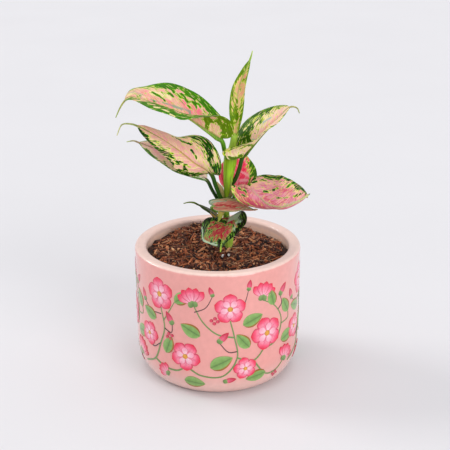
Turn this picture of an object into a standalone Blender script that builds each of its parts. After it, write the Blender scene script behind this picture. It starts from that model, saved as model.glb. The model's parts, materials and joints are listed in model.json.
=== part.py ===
"""Potted aglaonema: a young variegated plant in a small glazed cup planter.

Units are metres with +Z up. The origin is the middle of the pot's flat base. The plant faces -Y,
with +X to its right. Sizes below are in millimetres.
"""
import math

import bpy
import numpy as np

MM = 0.001

# Pot
POT_RADIUS = 60.0
POT_HEIGHT = 97.0
MOUTH_RADIUS = 51.5
BASE_RADIUS = 45.0
BASE_CORNER_HEIGHT = 28.0
WALL_RADIUS_LOW = 59.6
RIM_ROUNDING = 2.6
FLOOR_THICKNESS = 8.0
INNER_CORNER = 20.0
POT_SEGMENTS = 56

# Potting mix
SOIL_EDGE_HEIGHT = 89.5
SOIL_MOUND = 2.2
SOIL_LUMPS = 0.9
SOIL_SEGMENTS = 40
SOIL_SEED = 7

# Every pair of touching pieces keeps this gap
GAP = 0.3

# Cane and sheaths: place of the axis and radius at each height
STEM_AXIS = [
    (8.2, 0.0, 60.0),
    (8.2, 0.0, 89.0),
    (8.0, 0.0, 99.0),
    (7.0, 0.0, 112.0),
    (7.0, 0.0, 126.0),
    (7.5, 0.0, 138.0),
    (8.4, 0.2, 150.0),
    (9.0, 0.5, 157.0),
    (10.2, 1.2, 166.0),
]
STEM_RADIUS = [1.6, 2.0, 3.3, 2.3, 1.9, 2.1, 3.1, 4.0, 2.8]
STEM_SIDES = 14

# Leaf blades
BLADE_THICKNESS = 0.8
BLADE_STATIONS = 12
FIRST_STATION = 0.03
PETIOLE_STATIONS = 5
TIP_STATIONS = 3
TIP_RADIUS = 0.34
# Places of the section's points across each half, as shares of the half's width
ACROSS = [0.0, 0.1, 0.38, 0.7, 1.0]
RIB_CLEARANCE = 1.1
LOBE_CLEARANCE = 0.6


# Helpers
def material(name, color, roughness, coat=0.0):
    """A plain Principled material."""
    mat = bpy.data.materials.new(name)
    mat.use_nodes = True
    shader = mat.node_tree.nodes["Principled BSDF"]
    shader.inputs["Base Color"].default_value = (*color, 1.0)
    shader.inputs["Roughness"].default_value = roughness
    shader.inputs["Metallic"].default_value = 0.0
    shader.inputs["Coat Weight"].default_value = coat
    mat.diffuse_color = (*color, 1.0)
    return mat


def make_object(name, points, faces, mat=None, crease_angle=40.0):
    """One mesh object from points in millimetres, shaded smooth."""
    mesh = bpy.data.meshes.new(name)
    mesh.from_pydata([tuple(float(c) * MM for c in p) for p in points], [], faces)
    mesh.validate()
    mesh.shade_smooth()
    mesh.set_sharp_from_angle(angle=math.radians(crease_angle))
    obj = bpy.data.objects.new(name, mesh)
    bpy.context.scene.collection.objects.link(obj)
    if mat is not None:
        mesh.materials.append(mat)
    return obj


def unit(v):
    return v / np.maximum(np.linalg.norm(v, axis=-1, keepdims=True), 1e-12)


def smooth_curve(points, per_span=24):
    """Fine points of a centripetal Catmull-Rom curve through the given points."""
    p = np.asarray(points, float)
    p = np.vstack([2 * p[0] - p[1], p, 2 * p[-1] - p[-2]])
    out = []
    for a, b, c, d in zip(p, p[1:], p[2:], p[3:]):
        t1 = np.linalg.norm(b - a) ** 0.5
        t2 = t1 + np.linalg.norm(c - b) ** 0.5
        t3 = t2 + np.linalg.norm(d - c) ** 0.5
        t = np.linspace(t1, t2, per_span, endpoint=False)[:, None]
        ab = ((t1 - t) * a + t * b) / t1
        bc = ((t2 - t) * b + (t - t1) * c) / (t2 - t1)
        cd = ((t3 - t) * c + (t - t2) * d) / (t3 - t2)
        abc = ((t2 - t) * ab + t * bc) / t2
        bcd = ((t3 - t) * bc + (t - t1) * cd) / (t3 - t1)
        out.append(((t2 - t) * abc + (t - t1) * bcd) / (t2 - t1))
    return np.vstack(out + [p[-2:-1]])


def lengths(curve):
    return np.concatenate([[0.0], np.cumsum(np.linalg.norm(np.diff(curve, axis=0), axis=1))])


def along(curve, where):
    """Points of a fine curve at the given lengths along it."""
    s = lengths(curve)
    return np.stack([np.interp(where, s, curve[:, k]) for k in range(3)], axis=1)


def three_stage(values, t):
    """Eases from a base value through a middle value to a tip value."""
    low = np.clip(2.0 * t, 0.0, 1.0)
    high = np.clip(2.0 * t - 1.0, 0.0, 1.0)
    base, middle, tip = values
    return base + (middle - base) * low**2 * (3 - 2 * low) + (tip - middle) * high**2 * (3 - 2 * high)


def loft(sections):
    """Closed skin over equal rings of points, with a fan at each end."""
    rings, count = len(sections), len(sections[0])
    half = count // 2
    points = [p for ring in sections for p in ring]
    faces = []
    for i in range(rings - 1):
        for k in range(count):
            a, b = i * count + k, i * count + (k + 1) % count
            c, d = b + count, a + count
            # The lower side is split along the same diagonal as the upper side
            faces += [(a, b, c), (a, c, d)] if k < half else [(a, b, d), (b, c, d)]
    for k in range(1, count - 1):
        faces.append((0, k + 1, k))
        last = (rings - 1) * count
        faces.append((last, last + k, last + k + 1))
    return points, faces


def ring_points(centre, side, up, radius, count):
    """A circle whose first half runs over the top from the left edge to the right edge."""
    angles = math.pi - (np.arange(count) + 0.5) * 2 * math.pi / count
    return [centre + radius * (math.cos(a) * side + math.sin(a) * up) for a in angles]


def lathe(profile, segments):
    """Solid of revolution round Z. The profile runs from the axis round and back to the axis."""
    points = []
    faces = []
    rows = []
    for r, z in profile:
        if r < 1e-6:
            rows.append([len(points)])
            points.append((0.0, 0.0, z))
        else:
            rows.append(list(range(len(points), len(points) + segments)))
            for k in range(segments):
                a = 2 * math.pi * k / segments
                points.append((r * math.cos(a), r * math.sin(a), z))
    for low, high in zip(rows, rows[1:]):
        for k in range(segments):
            n = (k + 1) % segments
            if len(low) == 1:
                faces.append((low[0], high[n], high[k]))
            elif len(high) == 1:
                faces.append((low[k], low[n], high[0]))
            else:
                faces.append((low[k], low[n], high[n], high[k]))
    return points, faces


def tube(axis, radii, sides, grow=0.0):
    """A round stem that swells and narrows along its axis."""
    curve = smooth_curve(axis)
    knots = [int(np.argmin(np.linalg.norm(curve - np.array(p), axis=1))) for p in axis]
    s = lengths(curve)
    where = np.linspace(0.0, s[-1], 2 * len(axis) - 1)
    centres = along(curve, where)
    radius = np.interp(where, s[knots], radii) + grow
    centres[0] += unit(centres[0] - centres[1]) * grow
    centres[-1] += unit(centres[-1] - centres[-2]) * grow
    tangent = unit(np.gradient(centres, axis=0))
    up = np.array([0.0, -1.0, 0.0])
    sections = []
    for centre, direction, r in zip(centres, tangent, radius):
        up = unit(up - np.dot(up, direction) * direction)
        sections.append(ring_points(centre, np.cross(direction, up), up, r, sides))
    return loft(sections)


# Leaves
def half(width, fold, curl, lobe):
    """One half of a blade: its width in mm, then its lift off the level at the base, the middle and
    the tip, the further bend out to its margin, both in degrees, and how far its basal lobe reaches
    back in mm."""
    return {"width": width, "fold": fold, "curl": curl, "lobe": lobe}


def outline(t, rise, fall):
    """Share of the full width along the blade, 1 at its widest place."""
    widest = rise / (rise + fall)
    return t**rise * (1 - t) ** fall / (widest**rise * (1 - widest) ** fall)


def leaf_sections(spec):
    """Rings of points along one leaf: petiole, blade with its midrib, and drip tip."""
    petiole, midrib, tip = spec["petiole"], spec["midrib"], spec["tip"]
    curve = smooth_curve(petiole + midrib + tip)
    s = lengths(curve)
    start = s[24 * len(petiole)]
    end = s[24 * (len(petiole) + len(midrib) - 1)]
    tangents = unit(np.gradient(curve, axis=0))
    fine = np.stack([np.interp(s, s, tangents[:, k]) for k in range(3)], axis=1)

    def frame(where, face):
        direction = unit(np.array([np.interp(where, s, fine[:, k]) for k in range(3)]))
        up = unit(face - np.dot(face, direction) * direction)
        return direction, up, np.cross(direction, up)

    count = 2 * (2 * len(ACROSS) - 1)
    t = (1 - np.cos(np.linspace(0.0, math.pi, BLADE_STATIONS + 1))) / 2
    t[1] = FIRST_STATION
    base_face, tip_face = (np.array(f, float) for f in spec["face"])
    centre = along(curve, start + (end - start) * t)
    # The cross sections turn only half as fast as the midrib, as the side veins do
    heading = np.array([frame(start + (end - start) * v, base_face)[0] for v in t])
    direction = unit(heading + unit(centre[-1] - centre[0]))
    up = unit(base_face) * (1 - t[:, None]) + unit(tip_face) * t[:, None]
    up = unit(up - np.sum(up * direction, axis=1, keepdims=True) * direction)
    side = np.cross(direction, up)

    # Middle surface of the blade, from the left margin over the midrib to the right margin
    columns = 2 * len(ACROSS) - 1
    middle = len(ACROSS) - 1
    grid = np.zeros((len(t), columns, 3))
    grid[:, middle] = centre
    # A folded half only reaches its full fold a little way out from the petiole
    opening = np.clip(t / 0.08, 0.0, 1.0)
    opening = opening**2 * (3 - 2 * opening)
    twist = 0.0
    for sign, key in ((1, "right"), (-1, "left")):
        part = spec[key]
        width = np.maximum(part["width"] * outline(t, *spec["outline"]), 0.45)
        # The blade flattens where it runs out into the drip tip
        flat = np.where(t > 0.5, np.clip((width - 0.8) / 2.5, 0.0, 1.0), 1.0)
        fold = np.radians(three_stage(part["fold"], t)) * flat * (1 + opening) / 2
        twist += sign * fold[1]
        # A blade of this thickness can't be rolled tighter than about its own thickness
        tightest = width / (1.3 * BLADE_THICKNESS)
        bend = np.clip(np.radians(three_stage(part["curl"], t)) * flat, -tightest, tightest)
        # A basal lobe reaches back beside the petiole and stays clear of it
        spare = np.maximum(width - spec["stalk"] - LOBE_CLEARANCE, 0.01)
        lobe = spare * np.clip(1 - t / 0.4, 0.0, 1.0) ** 1.5
        back = part["lobe"] * lobe / lobe.max()
        for j, share in enumerate(ACROSS[1:], start=1):
            # The column beside the midrib stays clear of it where the blade is narrow
            u = np.clip(RIB_CLEARANCE / width, share, 0.3) if j == 1 else share
            turn = bend * u / 2
            reach = (width * u * np.sinc(turn / math.pi))[:, None]
            lift = (fold + turn)[:, None]
            point = centre + reach * (np.cos(lift) * side * sign + np.sin(lift) * up)
            beyond = np.clip((width * (u - 1) + spare) / spare, 0.0, 1.0) ** 1.2
            grid[:, middle + sign * j] = point - direction * (back * beyond)[:, None]
    normal = unit(np.cross(np.gradient(grid, axis=1), direction[:, None, :]))

    # The midrib stands out below the blade and thins out to the tip
    rib = spec["stalk"] * (1 - t) * (0.3 + opening)
    keel = np.zeros(columns)
    keel[middle] = 1.0
    keel[middle - 1] = keel[middle + 1] = 0.3

    sections = []
    # The petiole's top is turned to meet the halves where they leave it
    side_now = math.cos(twist) * side[0] + math.sin(twist) * up[0]
    up_now = math.cos(twist) * up[0] - math.sin(twist) * side[0]
    stalk = [ring_points(centre[0], side_now, up_now, spec["stalk"], count)]
    for where in np.linspace(start, 0.0, PETIOLE_STATIONS + 1)[1:]:
        direction_now, up_now, side_now = frame(where, up_now)
        centre_now = along(curve, [where])[0]
        stalk.append(ring_points(centre_now, side_now, up_now, spec["stalk"], count))
    sections += stalk[::-1]
    for i in range(1, len(t)):
        top = grid[i] + normal[i] * BLADE_THICKNESS / 2
        depth = BLADE_THICKNESS / 2 + rib[i] * keel
        under = grid[i] - normal[i] * depth[:, None]
        sections.append(list(top) + list(under[::-1]))
    up_now = up[-1]
    for where in np.linspace(end, s[-1], TIP_STATIONS + 1)[1:]:
        direction_now, up_now, side_now = frame(where, up_now)
        centre_now = along(curve, [where])[0]
        sections.append(ring_points(centre_now, side_now, up_now, TIP_RADIUS, count))
    return sections


# Each leaf in millimetres, from the axis of the cane outwards. The face is the way its upper side
# looks at the base and at the tip. The outline's two powers set how fast the blade widens from the
# base and narrows to the tip. Left and right are as seen along the midrib from above.
LEAVES = {
    "leaf_spear": {
        "petiole": [(10.1, 1.1, 165.0), (10.9, 1.4, 170.0)],
        "midrib": [(11.8, 1.7, 175.5), (12.9, 2.3, 187.5), (13.7, 3.0, 200.5), (14.8, 3.7, 209.5),
                   (17.8, 4.3, 219.0), (22.8, 5.0, 231.0)],
        "tip": [(24.2, 5.0, 236.3)],
        "face": [(-0.2, -1.0, 0.0), (-0.2, -1.0, 0.1)],
        "outline": (0.5, 0.75),
        "left": half(7.2, (15, 0, 10), (10, 60, 110), 0),
        "right": half(6.0, (10, 5, 5), (20, 25, 25), 0),
        "stalk": 2.5,
    },
    "leaf_upper_left": {
        "petiole": [(8.9, 0.5, 156.0), (7.2, -1.6, 161.0), (5.0, -4.6, 168.0)],
        "midrib": [(3.0, -6.5, 175.5), (-8.5, -10.0, 185.5), (-21.0, -12.0, 194.5), (-35.0, -13.0, 201.0),
                   (-49.5, -13.0, 206.5), (-59.5, -12.8, 208.5), (-63.2, -12.5, 205.5)],
        "tip": [(-66.4, -13.2, 200.8), (-69.4, -14.0, 194.3)],
        "face": [(0.3, 0.1, 1.0), (-0.3, -0.1, 1.0)],
        "outline": (0.45, 0.73),
        "left": half(20.5, (82, 32, -10), (-20, -45, 0), 6),
        "right": half(23.0, (30, 55, 20), (-10, -10, -20), 5),
        "stalk": 1.6,
    },
    "leaf_mid_left": {
        "petiole": [(7.0, 0.0, 123.5), (2.6, -2.8, 131.3), (-1.2, -5.4, 141.9)],
        "midrib": [(-4.5, -7.0, 151.5), (-16.0, -13.0, 161.5), (-27.0, -18.0, 172.5), (-40.5, -18.5, 182.0),
                   (-55.0, -16.0, 189.0)],
        "tip": [(-59.0, -15.8, 190.2), (-65.0, -16.6, 190.0), (-68.7, -17.5, 182.6)],
        "face": [(-0.8, -0.5, 0.3), (0.2, -0.3, 1.0)],
        "outline": (0.45, 0.69),
        "left": half(12.0, (5, 10, -10), (-25, -25, -35), 3),
        "right": half(19.5, (30, -10, 0), (-10, -50, -30), 5),
        "stalk": 1.5,
    },
    "leaf_low_left": {
        "petiole": [(7.0, 0.2, 119.0), (0.6, 2.4, 128.3), (-4.0, 3.6, 136.1)],
        "midrib": [(-7.6, 4.0, 143.0), (-18.2, 1.5, 152.0), (-29.8, 0.0, 160.1), (-42.4, -0.5, 167.2),
                   (-55.5, 0.5, 172.2)],
        "tip": [(-59.0, 0.5, 173.4), (-63.7, 0.0, 172.8)],
        "face": [(0.0, -0.1, 1.0), (0.0, -0.5, 0.9)],
        "outline": (0.42, 0.88),
        "left": half(14.0, (-2, 2, 5), (0, -15, -15), 0.5),
        "right": half(15.0, (20, 20, 10), (-20, -20, -20), 4),
        "stalk": 1.3,
    },
    "leaf_upper_right": {
        "petiole": [(7.4, 0.1, 137.5), (12.6, 0.2, 145.0), (15.6, -0.4, 153.5)],
        "midrib": [(18.0, -1.5, 162.5), (25.5, -4.0, 172.5), (33.0, -6.0, 182.0), (41.0, -8.5, 191.5),
                   (49.5, -10.5, 200.5)],
        "tip": [(52.2, -11.2, 201.2), (54.8, -12.0, 200.2), (56.3, -12.5, 197.0)],
        "face": [(-0.4, -0.5, 0.7), (0.2, -0.3, 0.9)],
        "outline": (0.44, 0.78),
        "left": half(18.5, (25, 15, 15), (-15, -10, -5), 3),
        "right": half(17.0, (95, 45, 25), (-10, -15, 5), 11),
        "stalk": 1.5,
    },
    "leaf_back": {
        "petiole": [(7.0, 0.2, 121.0), (10.4, 1.8, 127.5)],
        "midrib": [(13.0, 3.0, 134.5), (14.5, 6.5, 142.0), (15.5, 11.5, 149.0), (16.0, 17.0, 155.5),
                   (15.5, 23.0, 161.0)],
        "tip": [(15.4, 25.5, 162.6)],
        "face": [(0.2, -0.9, 0.4), (0.2, -0.9, 0.4)],
        "outline": (0.44, 0.85),
        "left": half(15.0, (20, 10, 10), (0, -20, -20), 2),
        "right": half(14.0, (10, 10, 0), (-10, -20, -25), 4),
        "stalk": 1.3,
    },
    "leaf_front_right": {
        "petiole": [(7.1, 0.0, 130.0), (11.5, -3.0, 137.0), (16.5, -6.5, 142.0)],
        "midrib": [(22.0, -9.5, 142.0), (28.5, -15.0, 138.0), (35.5, -19.0, 133.5), (45.0, -22.0, 132.5),
                   (54.5, -21.5, 135.5), (63.0, -18.5, 139.5)],
        "tip": [(64.5, -17.5, 140.2)],
        "face": [(0.0, -0.5, 0.9), (-0.4, -0.8, 0.4)],
        "outline": (0.56, 0.62),
        "left": half(21.5, (5, 15, 0), (-5, -10, -20), 6),
        "right": half(12.5, (35, -60, -60), (20, -70, -30), 15),
        "stalk": 1.4,
    },
    "leaf_low_centre": {
        "petiole": [(7.0, 0.0, 118.5), (1.5, -3.5, 121.5), (-2.8, -7.6, 124.6), (-4.3, -10.0, 127.4)],
        "midrib": [(-2.6, -11.8, 128.6), (3.5, -12.6, 128.7), (11.5, -12.0, 127.6), (19.0, -10.9, 126.4),
                   (27.0, -9.8, 125.7)],
        "tip": [(28.5, -9.4, 125.6)],
        "face": [(0.0, -0.1, 1.0), (0.1, 0.1, 1.0)],
        "outline": (0.38, 0.89),
        "left": half(8.0, (20, 28, 20), (0, -10, -10), 1.5),
        "right": half(12.5, (5, -5, 0), (10, -15, -15), 2),
        "stalk": 1.0,
    },
    "leaf_thin_left": {
        "petiole": [(7.0, 0.8, 108.5), (3.8, 2.0, 113.3)],
        "midrib": [(0.4, 1.4, 117.4), (-4.8, -2.2, 122.4), (-10.0, -5.6, 126.6), (-16.5, -7.4, 130.0)],
        "tip": [(-20.0, -8.0, 130.6), (-24.0, -8.2, 129.8)],
        "face": [(0.0, -0.1, 1.0), (-0.1, 0.1, 1.0)],
        "outline": (0.41, 0.86),
        "left": half(4.0, (-15, -5, -10), (-25, -15, -20), 1),
        "right": half(3.0, (20, 15, 10), (-5, -5, 0), 0),
        "stalk": 0.8,
    },
    "leaf_bottom_front": {
        "petiole": [(7.6, 0.0, 101.0), (7.5, -3.2, 109.5)],
        "midrib": [(7.0, -6.0, 118.0), (6.5, -14.5, 118.0), (5.0, -23.0, 116.0), (4.0, -32.0, 113.0),
                   (2.5, -39.5, 108.5)],
        "tip": [(2.2, -41.0, 106.0)],
        "face": [(-0.2, 0.0, 1.0), (-0.4, -0.8, 0.4)],
        "outline": (0.51, 0.92),
        "left": half(15.5, (10, 10, 15), (0, -25, -15), 5),
        "right": half(20.5, (8, 0, 5), (-5, -25, -25), 4),
        "stalk": 1.4,
    },
}


# Pot and potting mix
def arc(centre_r, centre_z, radius_r, radius_z, start, end, steps):
    """Points of a quarter round in the profile, angles in degrees from the outward level."""
    angles = np.radians(np.linspace(start, end, steps + 1))
    return [(centre_r + radius_r * math.cos(a), centre_z + radius_z * math.sin(a)) for a in angles]


def pot_profile():
    corner = arc(BASE_RADIUS, BASE_CORNER_HEIGHT, WALL_RADIUS_LOW - BASE_RADIUS, BASE_CORNER_HEIGHT, -90, 0, 7)
    outer_rim = arc(POT_RADIUS - RIM_ROUNDING, POT_HEIGHT - RIM_ROUNDING, RIM_ROUNDING, RIM_ROUNDING, 0, 90, 3)
    inner_rim = arc(MOUTH_RADIUS + RIM_ROUNDING, POT_HEIGHT - RIM_ROUNDING, RIM_ROUNDING, RIM_ROUNDING, 90, 180, 3)
    inside = arc(MOUTH_RADIUS - INNER_CORNER, FLOOR_THICKNESS + INNER_CORNER, INNER_CORNER, INNER_CORNER, 0, -90, 5)
    return [(0.0, 0.0)] + corner + outer_rim + inner_rim + inside + [(0.0, FLOOR_THICKNESS)]


def soil_height(x, y, waves):
    """Mounded and lumpy top of the potting mix."""
    r = math.hypot(x, y) / MOUTH_RADIUS
    lumps = sum(math.sin(kx * x + ky * y + phase) for kx, ky, phase in waves) / len(waves) ** 0.5
    return SOIL_EDGE_HEIGHT + SOIL_MOUND * (1 - r * r) + SOIL_LUMPS * lumps


def soil_mesh():
    generator = np.random.default_rng(SOIL_SEED)
    waves = []
    for length in (9.0, 12.0, 15.0, 19.0, 25.0):
        heading = generator.uniform(0, 2 * math.pi)
        size = 2 * math.pi / length
        waves.append((size * math.cos(heading), size * math.sin(heading), generator.uniform(0, 6.28)))
    rim = MOUTH_RADIUS - GAP
    round_off = INNER_CORNER
    bottom = arc(rim - round_off, FLOOR_THICKNESS + GAP + round_off, round_off, round_off, -90, 0, 4)
    rings = [(0.0, FLOOR_THICKNESS + GAP)] + bottom
    rings += [(rim * share, None) for share in (1.0, 0.94, 0.84, 0.72, 0.6, 0.48, 0.36, 0.24, 0.12, 0.0)]
    points, faces = lathe([(r, 0.0 if z is None else z) for r, z in rings], SOIL_SEGMENTS)
    surface = 1 + SOIL_SEGMENTS * len(bottom)
    shaped = points[:surface]
    for x, y, z in points[surface:]:
        shaped.append((x, y, soil_height(x, y, waves)))
    return shaped, faces


# Building the objects
for old in list(bpy.data.objects):
    bpy.data.objects.remove(old, do_unlink=True)

glaze = material("pink_glaze", (0.82, 0.42, 0.37), 0.2, coat=0.5)
mix = material("potting_mix", (0.05, 0.022, 0.012), 0.95)
cane_green = material("cane_green", (0.22, 0.40, 0.05), 0.45)
leaf_pink = material("leaf_pink", (0.62, 0.20, 0.16), 0.4)
leaf_lime = material("leaf_lime", (0.33, 0.45, 0.08), 0.4)
leaf_rose = material("leaf_rose", (0.55, 0.10, 0.10), 0.4)
leaf_dark = material("leaf_dark_green", (0.06, 0.14, 0.03), 0.4)
LEAF_COLOURS = {
    "leaf_spear": leaf_lime,
    "leaf_back": leaf_rose,
    "leaf_front_right": leaf_rose,
    "leaf_low_centre": leaf_rose,
    "leaf_thin_left": leaf_dark,
    "leaf_bottom_front": leaf_dark,
}

pot_points, pot_faces = lathe(pot_profile(), POT_SEGMENTS)
pot = make_object("pot", pot_points, pot_faces, glaze)

# The cane cuts its own place, with the gap round it, out of the soil and the leaf stalks
stem_points, stem_faces = tube(STEM_AXIS, STEM_RADIUS, STEM_SIDES)
stem = make_object("stem", stem_points, stem_faces, cane_green)
cutter_points, cutter_faces = tube(STEM_AXIS, STEM_RADIUS, STEM_SIDES, grow=GAP)
cutter = make_object("stem_clearance", cutter_points, cutter_faces)
cutter.hide_render = True
cutter.display_type = "WIRE"


def clear_of_stem(obj):
    cut = obj.modifiers.new("clear of stem", "BOOLEAN")
    cut.operation = "DIFFERENCE"
    cut.solver = "EXACT"
    cut.object = cutter


soil_points, soil_faces = soil_mesh()
soil = make_object("soil", soil_points, soil_faces, mix)
clear_of_stem(soil)

for leaf_name, leaf_spec in LEAVES.items():
    leaf_points, leaf_faces = loft(leaf_sections(leaf_spec))
    leaf = make_object(leaf_name, leaf_points, leaf_faces, LEAF_COLOURS.get(leaf_name, leaf_pink))
    clear_of_stem(leaf)
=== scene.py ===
# %% [markdown]
# # A potted aglaonema
#
# The real thing is a young variegated house plant in a small glazed cup planter. The solid model of
# it is already packed, so this script loads that model as a fixed frame and dresses it: every finish,
# the fine shape of each leaf, the loose husk chips of the potting mix and the floral print.
#
# Everything is in metres and in the frame's own axes. Sizes are written in millimetres, because that
# is how a grower or a potter would say them, and turned to metres when a mesh is made.

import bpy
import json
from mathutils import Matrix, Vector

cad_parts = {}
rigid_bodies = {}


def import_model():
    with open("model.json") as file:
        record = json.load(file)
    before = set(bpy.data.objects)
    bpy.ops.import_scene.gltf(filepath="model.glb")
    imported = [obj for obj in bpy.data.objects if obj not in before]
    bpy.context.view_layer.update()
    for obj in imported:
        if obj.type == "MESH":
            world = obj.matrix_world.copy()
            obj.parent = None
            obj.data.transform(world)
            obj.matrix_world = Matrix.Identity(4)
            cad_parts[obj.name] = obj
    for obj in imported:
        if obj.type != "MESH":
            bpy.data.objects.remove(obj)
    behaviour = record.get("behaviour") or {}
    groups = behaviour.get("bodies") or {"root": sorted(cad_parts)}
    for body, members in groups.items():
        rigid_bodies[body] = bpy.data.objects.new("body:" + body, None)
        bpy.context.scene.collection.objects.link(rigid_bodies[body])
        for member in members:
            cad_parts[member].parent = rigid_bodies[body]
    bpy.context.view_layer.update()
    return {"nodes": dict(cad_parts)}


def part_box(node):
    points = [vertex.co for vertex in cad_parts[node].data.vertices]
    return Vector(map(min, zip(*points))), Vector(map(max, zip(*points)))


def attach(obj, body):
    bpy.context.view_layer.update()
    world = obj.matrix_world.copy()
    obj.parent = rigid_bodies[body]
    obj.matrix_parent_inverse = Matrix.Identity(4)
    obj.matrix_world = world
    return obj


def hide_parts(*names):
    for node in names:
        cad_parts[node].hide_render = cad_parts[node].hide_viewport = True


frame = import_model()

import json
import math

import bmesh
import bpy
import numpy as np
from mathutils import Vector

MM = 0.001
print("nodes in the frame:", ", ".join(sorted(frame["nodes"])))

# %% [markdown]
# ## Helpers for colours, nodes and meshes
#
# Colours are given as sRGB hex values, as in a paint program, but a shader works in linear light, so
# one function turns them over. One more function adds a node with its settings and its links, for
# shader trees and geometry trees alike.

# %% Colour, node and mesh helpers
def paint(hex_code):
    """Linear RGBA of an sRGB hex colour."""
    srgb = np.array([int(hex_code[k:k + 2], 16) for k in (1, 3, 5)]) / 255
    linear = np.where(srgb <= 0.04045, srgb / 12.92, ((srgb + 0.055) / 1.055) ** 2.4)
    return (*linear.tolist(), 1.0)


def wire(tree, node, inputs):
    """Fill a node's inputs. Each gets a value, a hex colour, a socket, or a node's first live output."""
    for key, value in inputs.items():
        if isinstance(value, bpy.types.Node):
            value = next(output for output in value.outputs if output.enabled)
        if isinstance(value, bpy.types.NodeSocket):
            tree.links.new(value, node.inputs[key])
        else:
            is_hex = isinstance(value, str) and value.startswith("#")
            node.inputs[key].default_value = paint(value) if is_hex else value


def add(tree, kind, inputs=None, stops=None, **settings):
    """A node with its settings, its inputs, and the stops of its colour ramp."""
    node = tree.nodes.new(kind)
    for key, value in settings.items():
        setattr(node, key, value)
    wire(tree, node, inputs or {})
    if stops:
        ramp = node.color_ramp
        while len(ramp.elements) < len(stops):
            ramp.elements.new(1.0)
        for element, (place, colour) in zip(ramp.elements, stops):
            element.position = place
            element.color = paint(colour)
    return node


def new_material(name):
    """A material, its tree and its Principled shader."""
    mat = bpy.data.materials.new(name)
    mat.use_nodes = True
    return mat, mat.node_tree, mat.node_tree.nodes["Principled BSDF"]


def mesh_object(name, points_mm, faces, materials=(), slots=None, smooth=True):
    """A mesh object at the origin from points in millimetres, its faces turned outward."""
    mesh = bpy.data.meshes.new(name)
    points = np.asarray(points_mm, float) * MM
    mesh.from_pydata(points.tolist(), [], [tuple(int(i) for i in f) for f in faces])
    shell = bmesh.new()
    shell.from_mesh(mesh)
    bmesh.ops.recalc_face_normals(shell, faces=shell.faces)
    shell.to_mesh(mesh)
    shell.free()
    for mat in materials:
        mesh.materials.append(mat)
    if slots is not None:
        mesh.polygons.foreach_set("material_index", np.asarray(slots, np.int32))
    if smooth:
        mesh.shade_smooth()
    mesh.update()
    obj = bpy.data.objects.new(name, mesh)
    bpy.context.scene.collection.objects.link(obj)
    return obj


def store(obj, name, values, kind="FLOAT"):
    """A value for each point of the mesh, which a material reads by its name."""
    values = np.asarray(values, np.int32 if kind == "INT" else np.float32)
    field = "value"
    if kind == "FLOAT_COLOR":
        field = "color"
        if values.shape[1] == 3:
            values = np.hstack([values, np.ones((len(values), 1), np.float32)])
    obj.data.attributes.new(name, kind, "POINT").data.foreach_set(field, values.ravel())


def count_faces(obj):
    """Print how many triangles a piece has."""
    print(f"{obj.name}: {sum(len(p.vertices) - 2 for p in obj.data.polygons)} triangles")


# %% Curve and skin helpers
CURVE_STEPS = 24


def unit(v):
    """Vectors of length 1 in the same directions."""
    return v / np.maximum(np.linalg.norm(v, axis=-1, keepdims=True), 1e-12)


def smooth_curve(points, per_span=CURVE_STEPS):
    """Fine points of a centripetal Catmull-Rom curve through the given points."""
    p = np.asarray(points, float)
    p = np.vstack([2 * p[0] - p[1], p, 2 * p[-1] - p[-2]])
    out = []
    for a, b, c, d in zip(p, p[1:], p[2:], p[3:]):
        t1 = np.linalg.norm(b - a) ** 0.5
        t2 = t1 + np.linalg.norm(c - b) ** 0.5
        t3 = t2 + np.linalg.norm(d - c) ** 0.5
        t = np.linspace(t1, t2, per_span, endpoint=False)[:, None]
        ab = ((t1 - t) * a + t * b) / t1
        bc = ((t2 - t) * b + (t - t1) * c) / (t2 - t1)
        cd = ((t3 - t) * c + (t - t2) * d) / (t3 - t2)
        abc = ((t2 - t) * ab + t * bc) / t2
        bcd = ((t3 - t) * bc + (t - t1) * cd) / (t3 - t1)
        out.append(((t2 - t) * abc + (t - t1) * bcd) / (t2 - t1))
    return np.vstack(out + [p[-2:-1]])


def lengths(curve):
    """Length along a curve up to each of its points."""
    return np.concatenate([[0.0], np.cumsum(np.linalg.norm(np.diff(curve, axis=0), axis=1))])


def between(where, knots, rows):
    """Rows of values, read off between the knots they belong to."""
    return np.stack([np.interp(where, knots, column) for column in np.asarray(rows, float).T], axis=1)


def along(curve, where):
    """Points of a fine curve at the given lengths along it."""
    return between(where, lengths(curve), curve)


def join_rings(rings, around_it, first=0):
    """Faces between neighbouring rings of points, each ring closed on itself."""
    here = np.arange(rings * around_it).reshape(rings, around_it) + first
    ahead = np.roll(here, -1, axis=1)
    return np.stack([here[:-1], ahead[:-1], ahead[1:], here[1:]], -1).reshape(-1, 4).tolist()


def close_ring(first, around_it, pole):
    """Triangles from a pole to the ring whose points start at the given number."""
    return [(pole, first + k, first + (k + 1) % around_it) for k in range(around_it)]


def round_skin(centres, radii, up, sides):
    """Points and faces of a closed round stem along the given centres, with round ends."""
    tangents = unit(np.gradient(centres, axis=0))
    angles = np.linspace(0, 2 * math.pi, sides, endpoint=False)
    points = []
    for centre, direction, radius in zip(centres, tangents, radii):
        up = unit(up - np.dot(up, direction) * direction)
        side = np.cross(direction, up)
        points.append(centre + radius * (np.cos(angles)[:, None] * side + np.sin(angles)[:, None] * up))
    rings = len(points)
    points = np.vstack(points + [centres[:1] - tangents[:1] * radii[0] * 0.5,
                                 centres[-1:] + tangents[-1:] * radii[-1] * 0.8])
    ends = close_ring(0, sides, rings * sides) + close_ring((rings - 1) * sides, sides, rings * sides + 1)
    return points, join_rings(rings, sides) + ends


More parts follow.
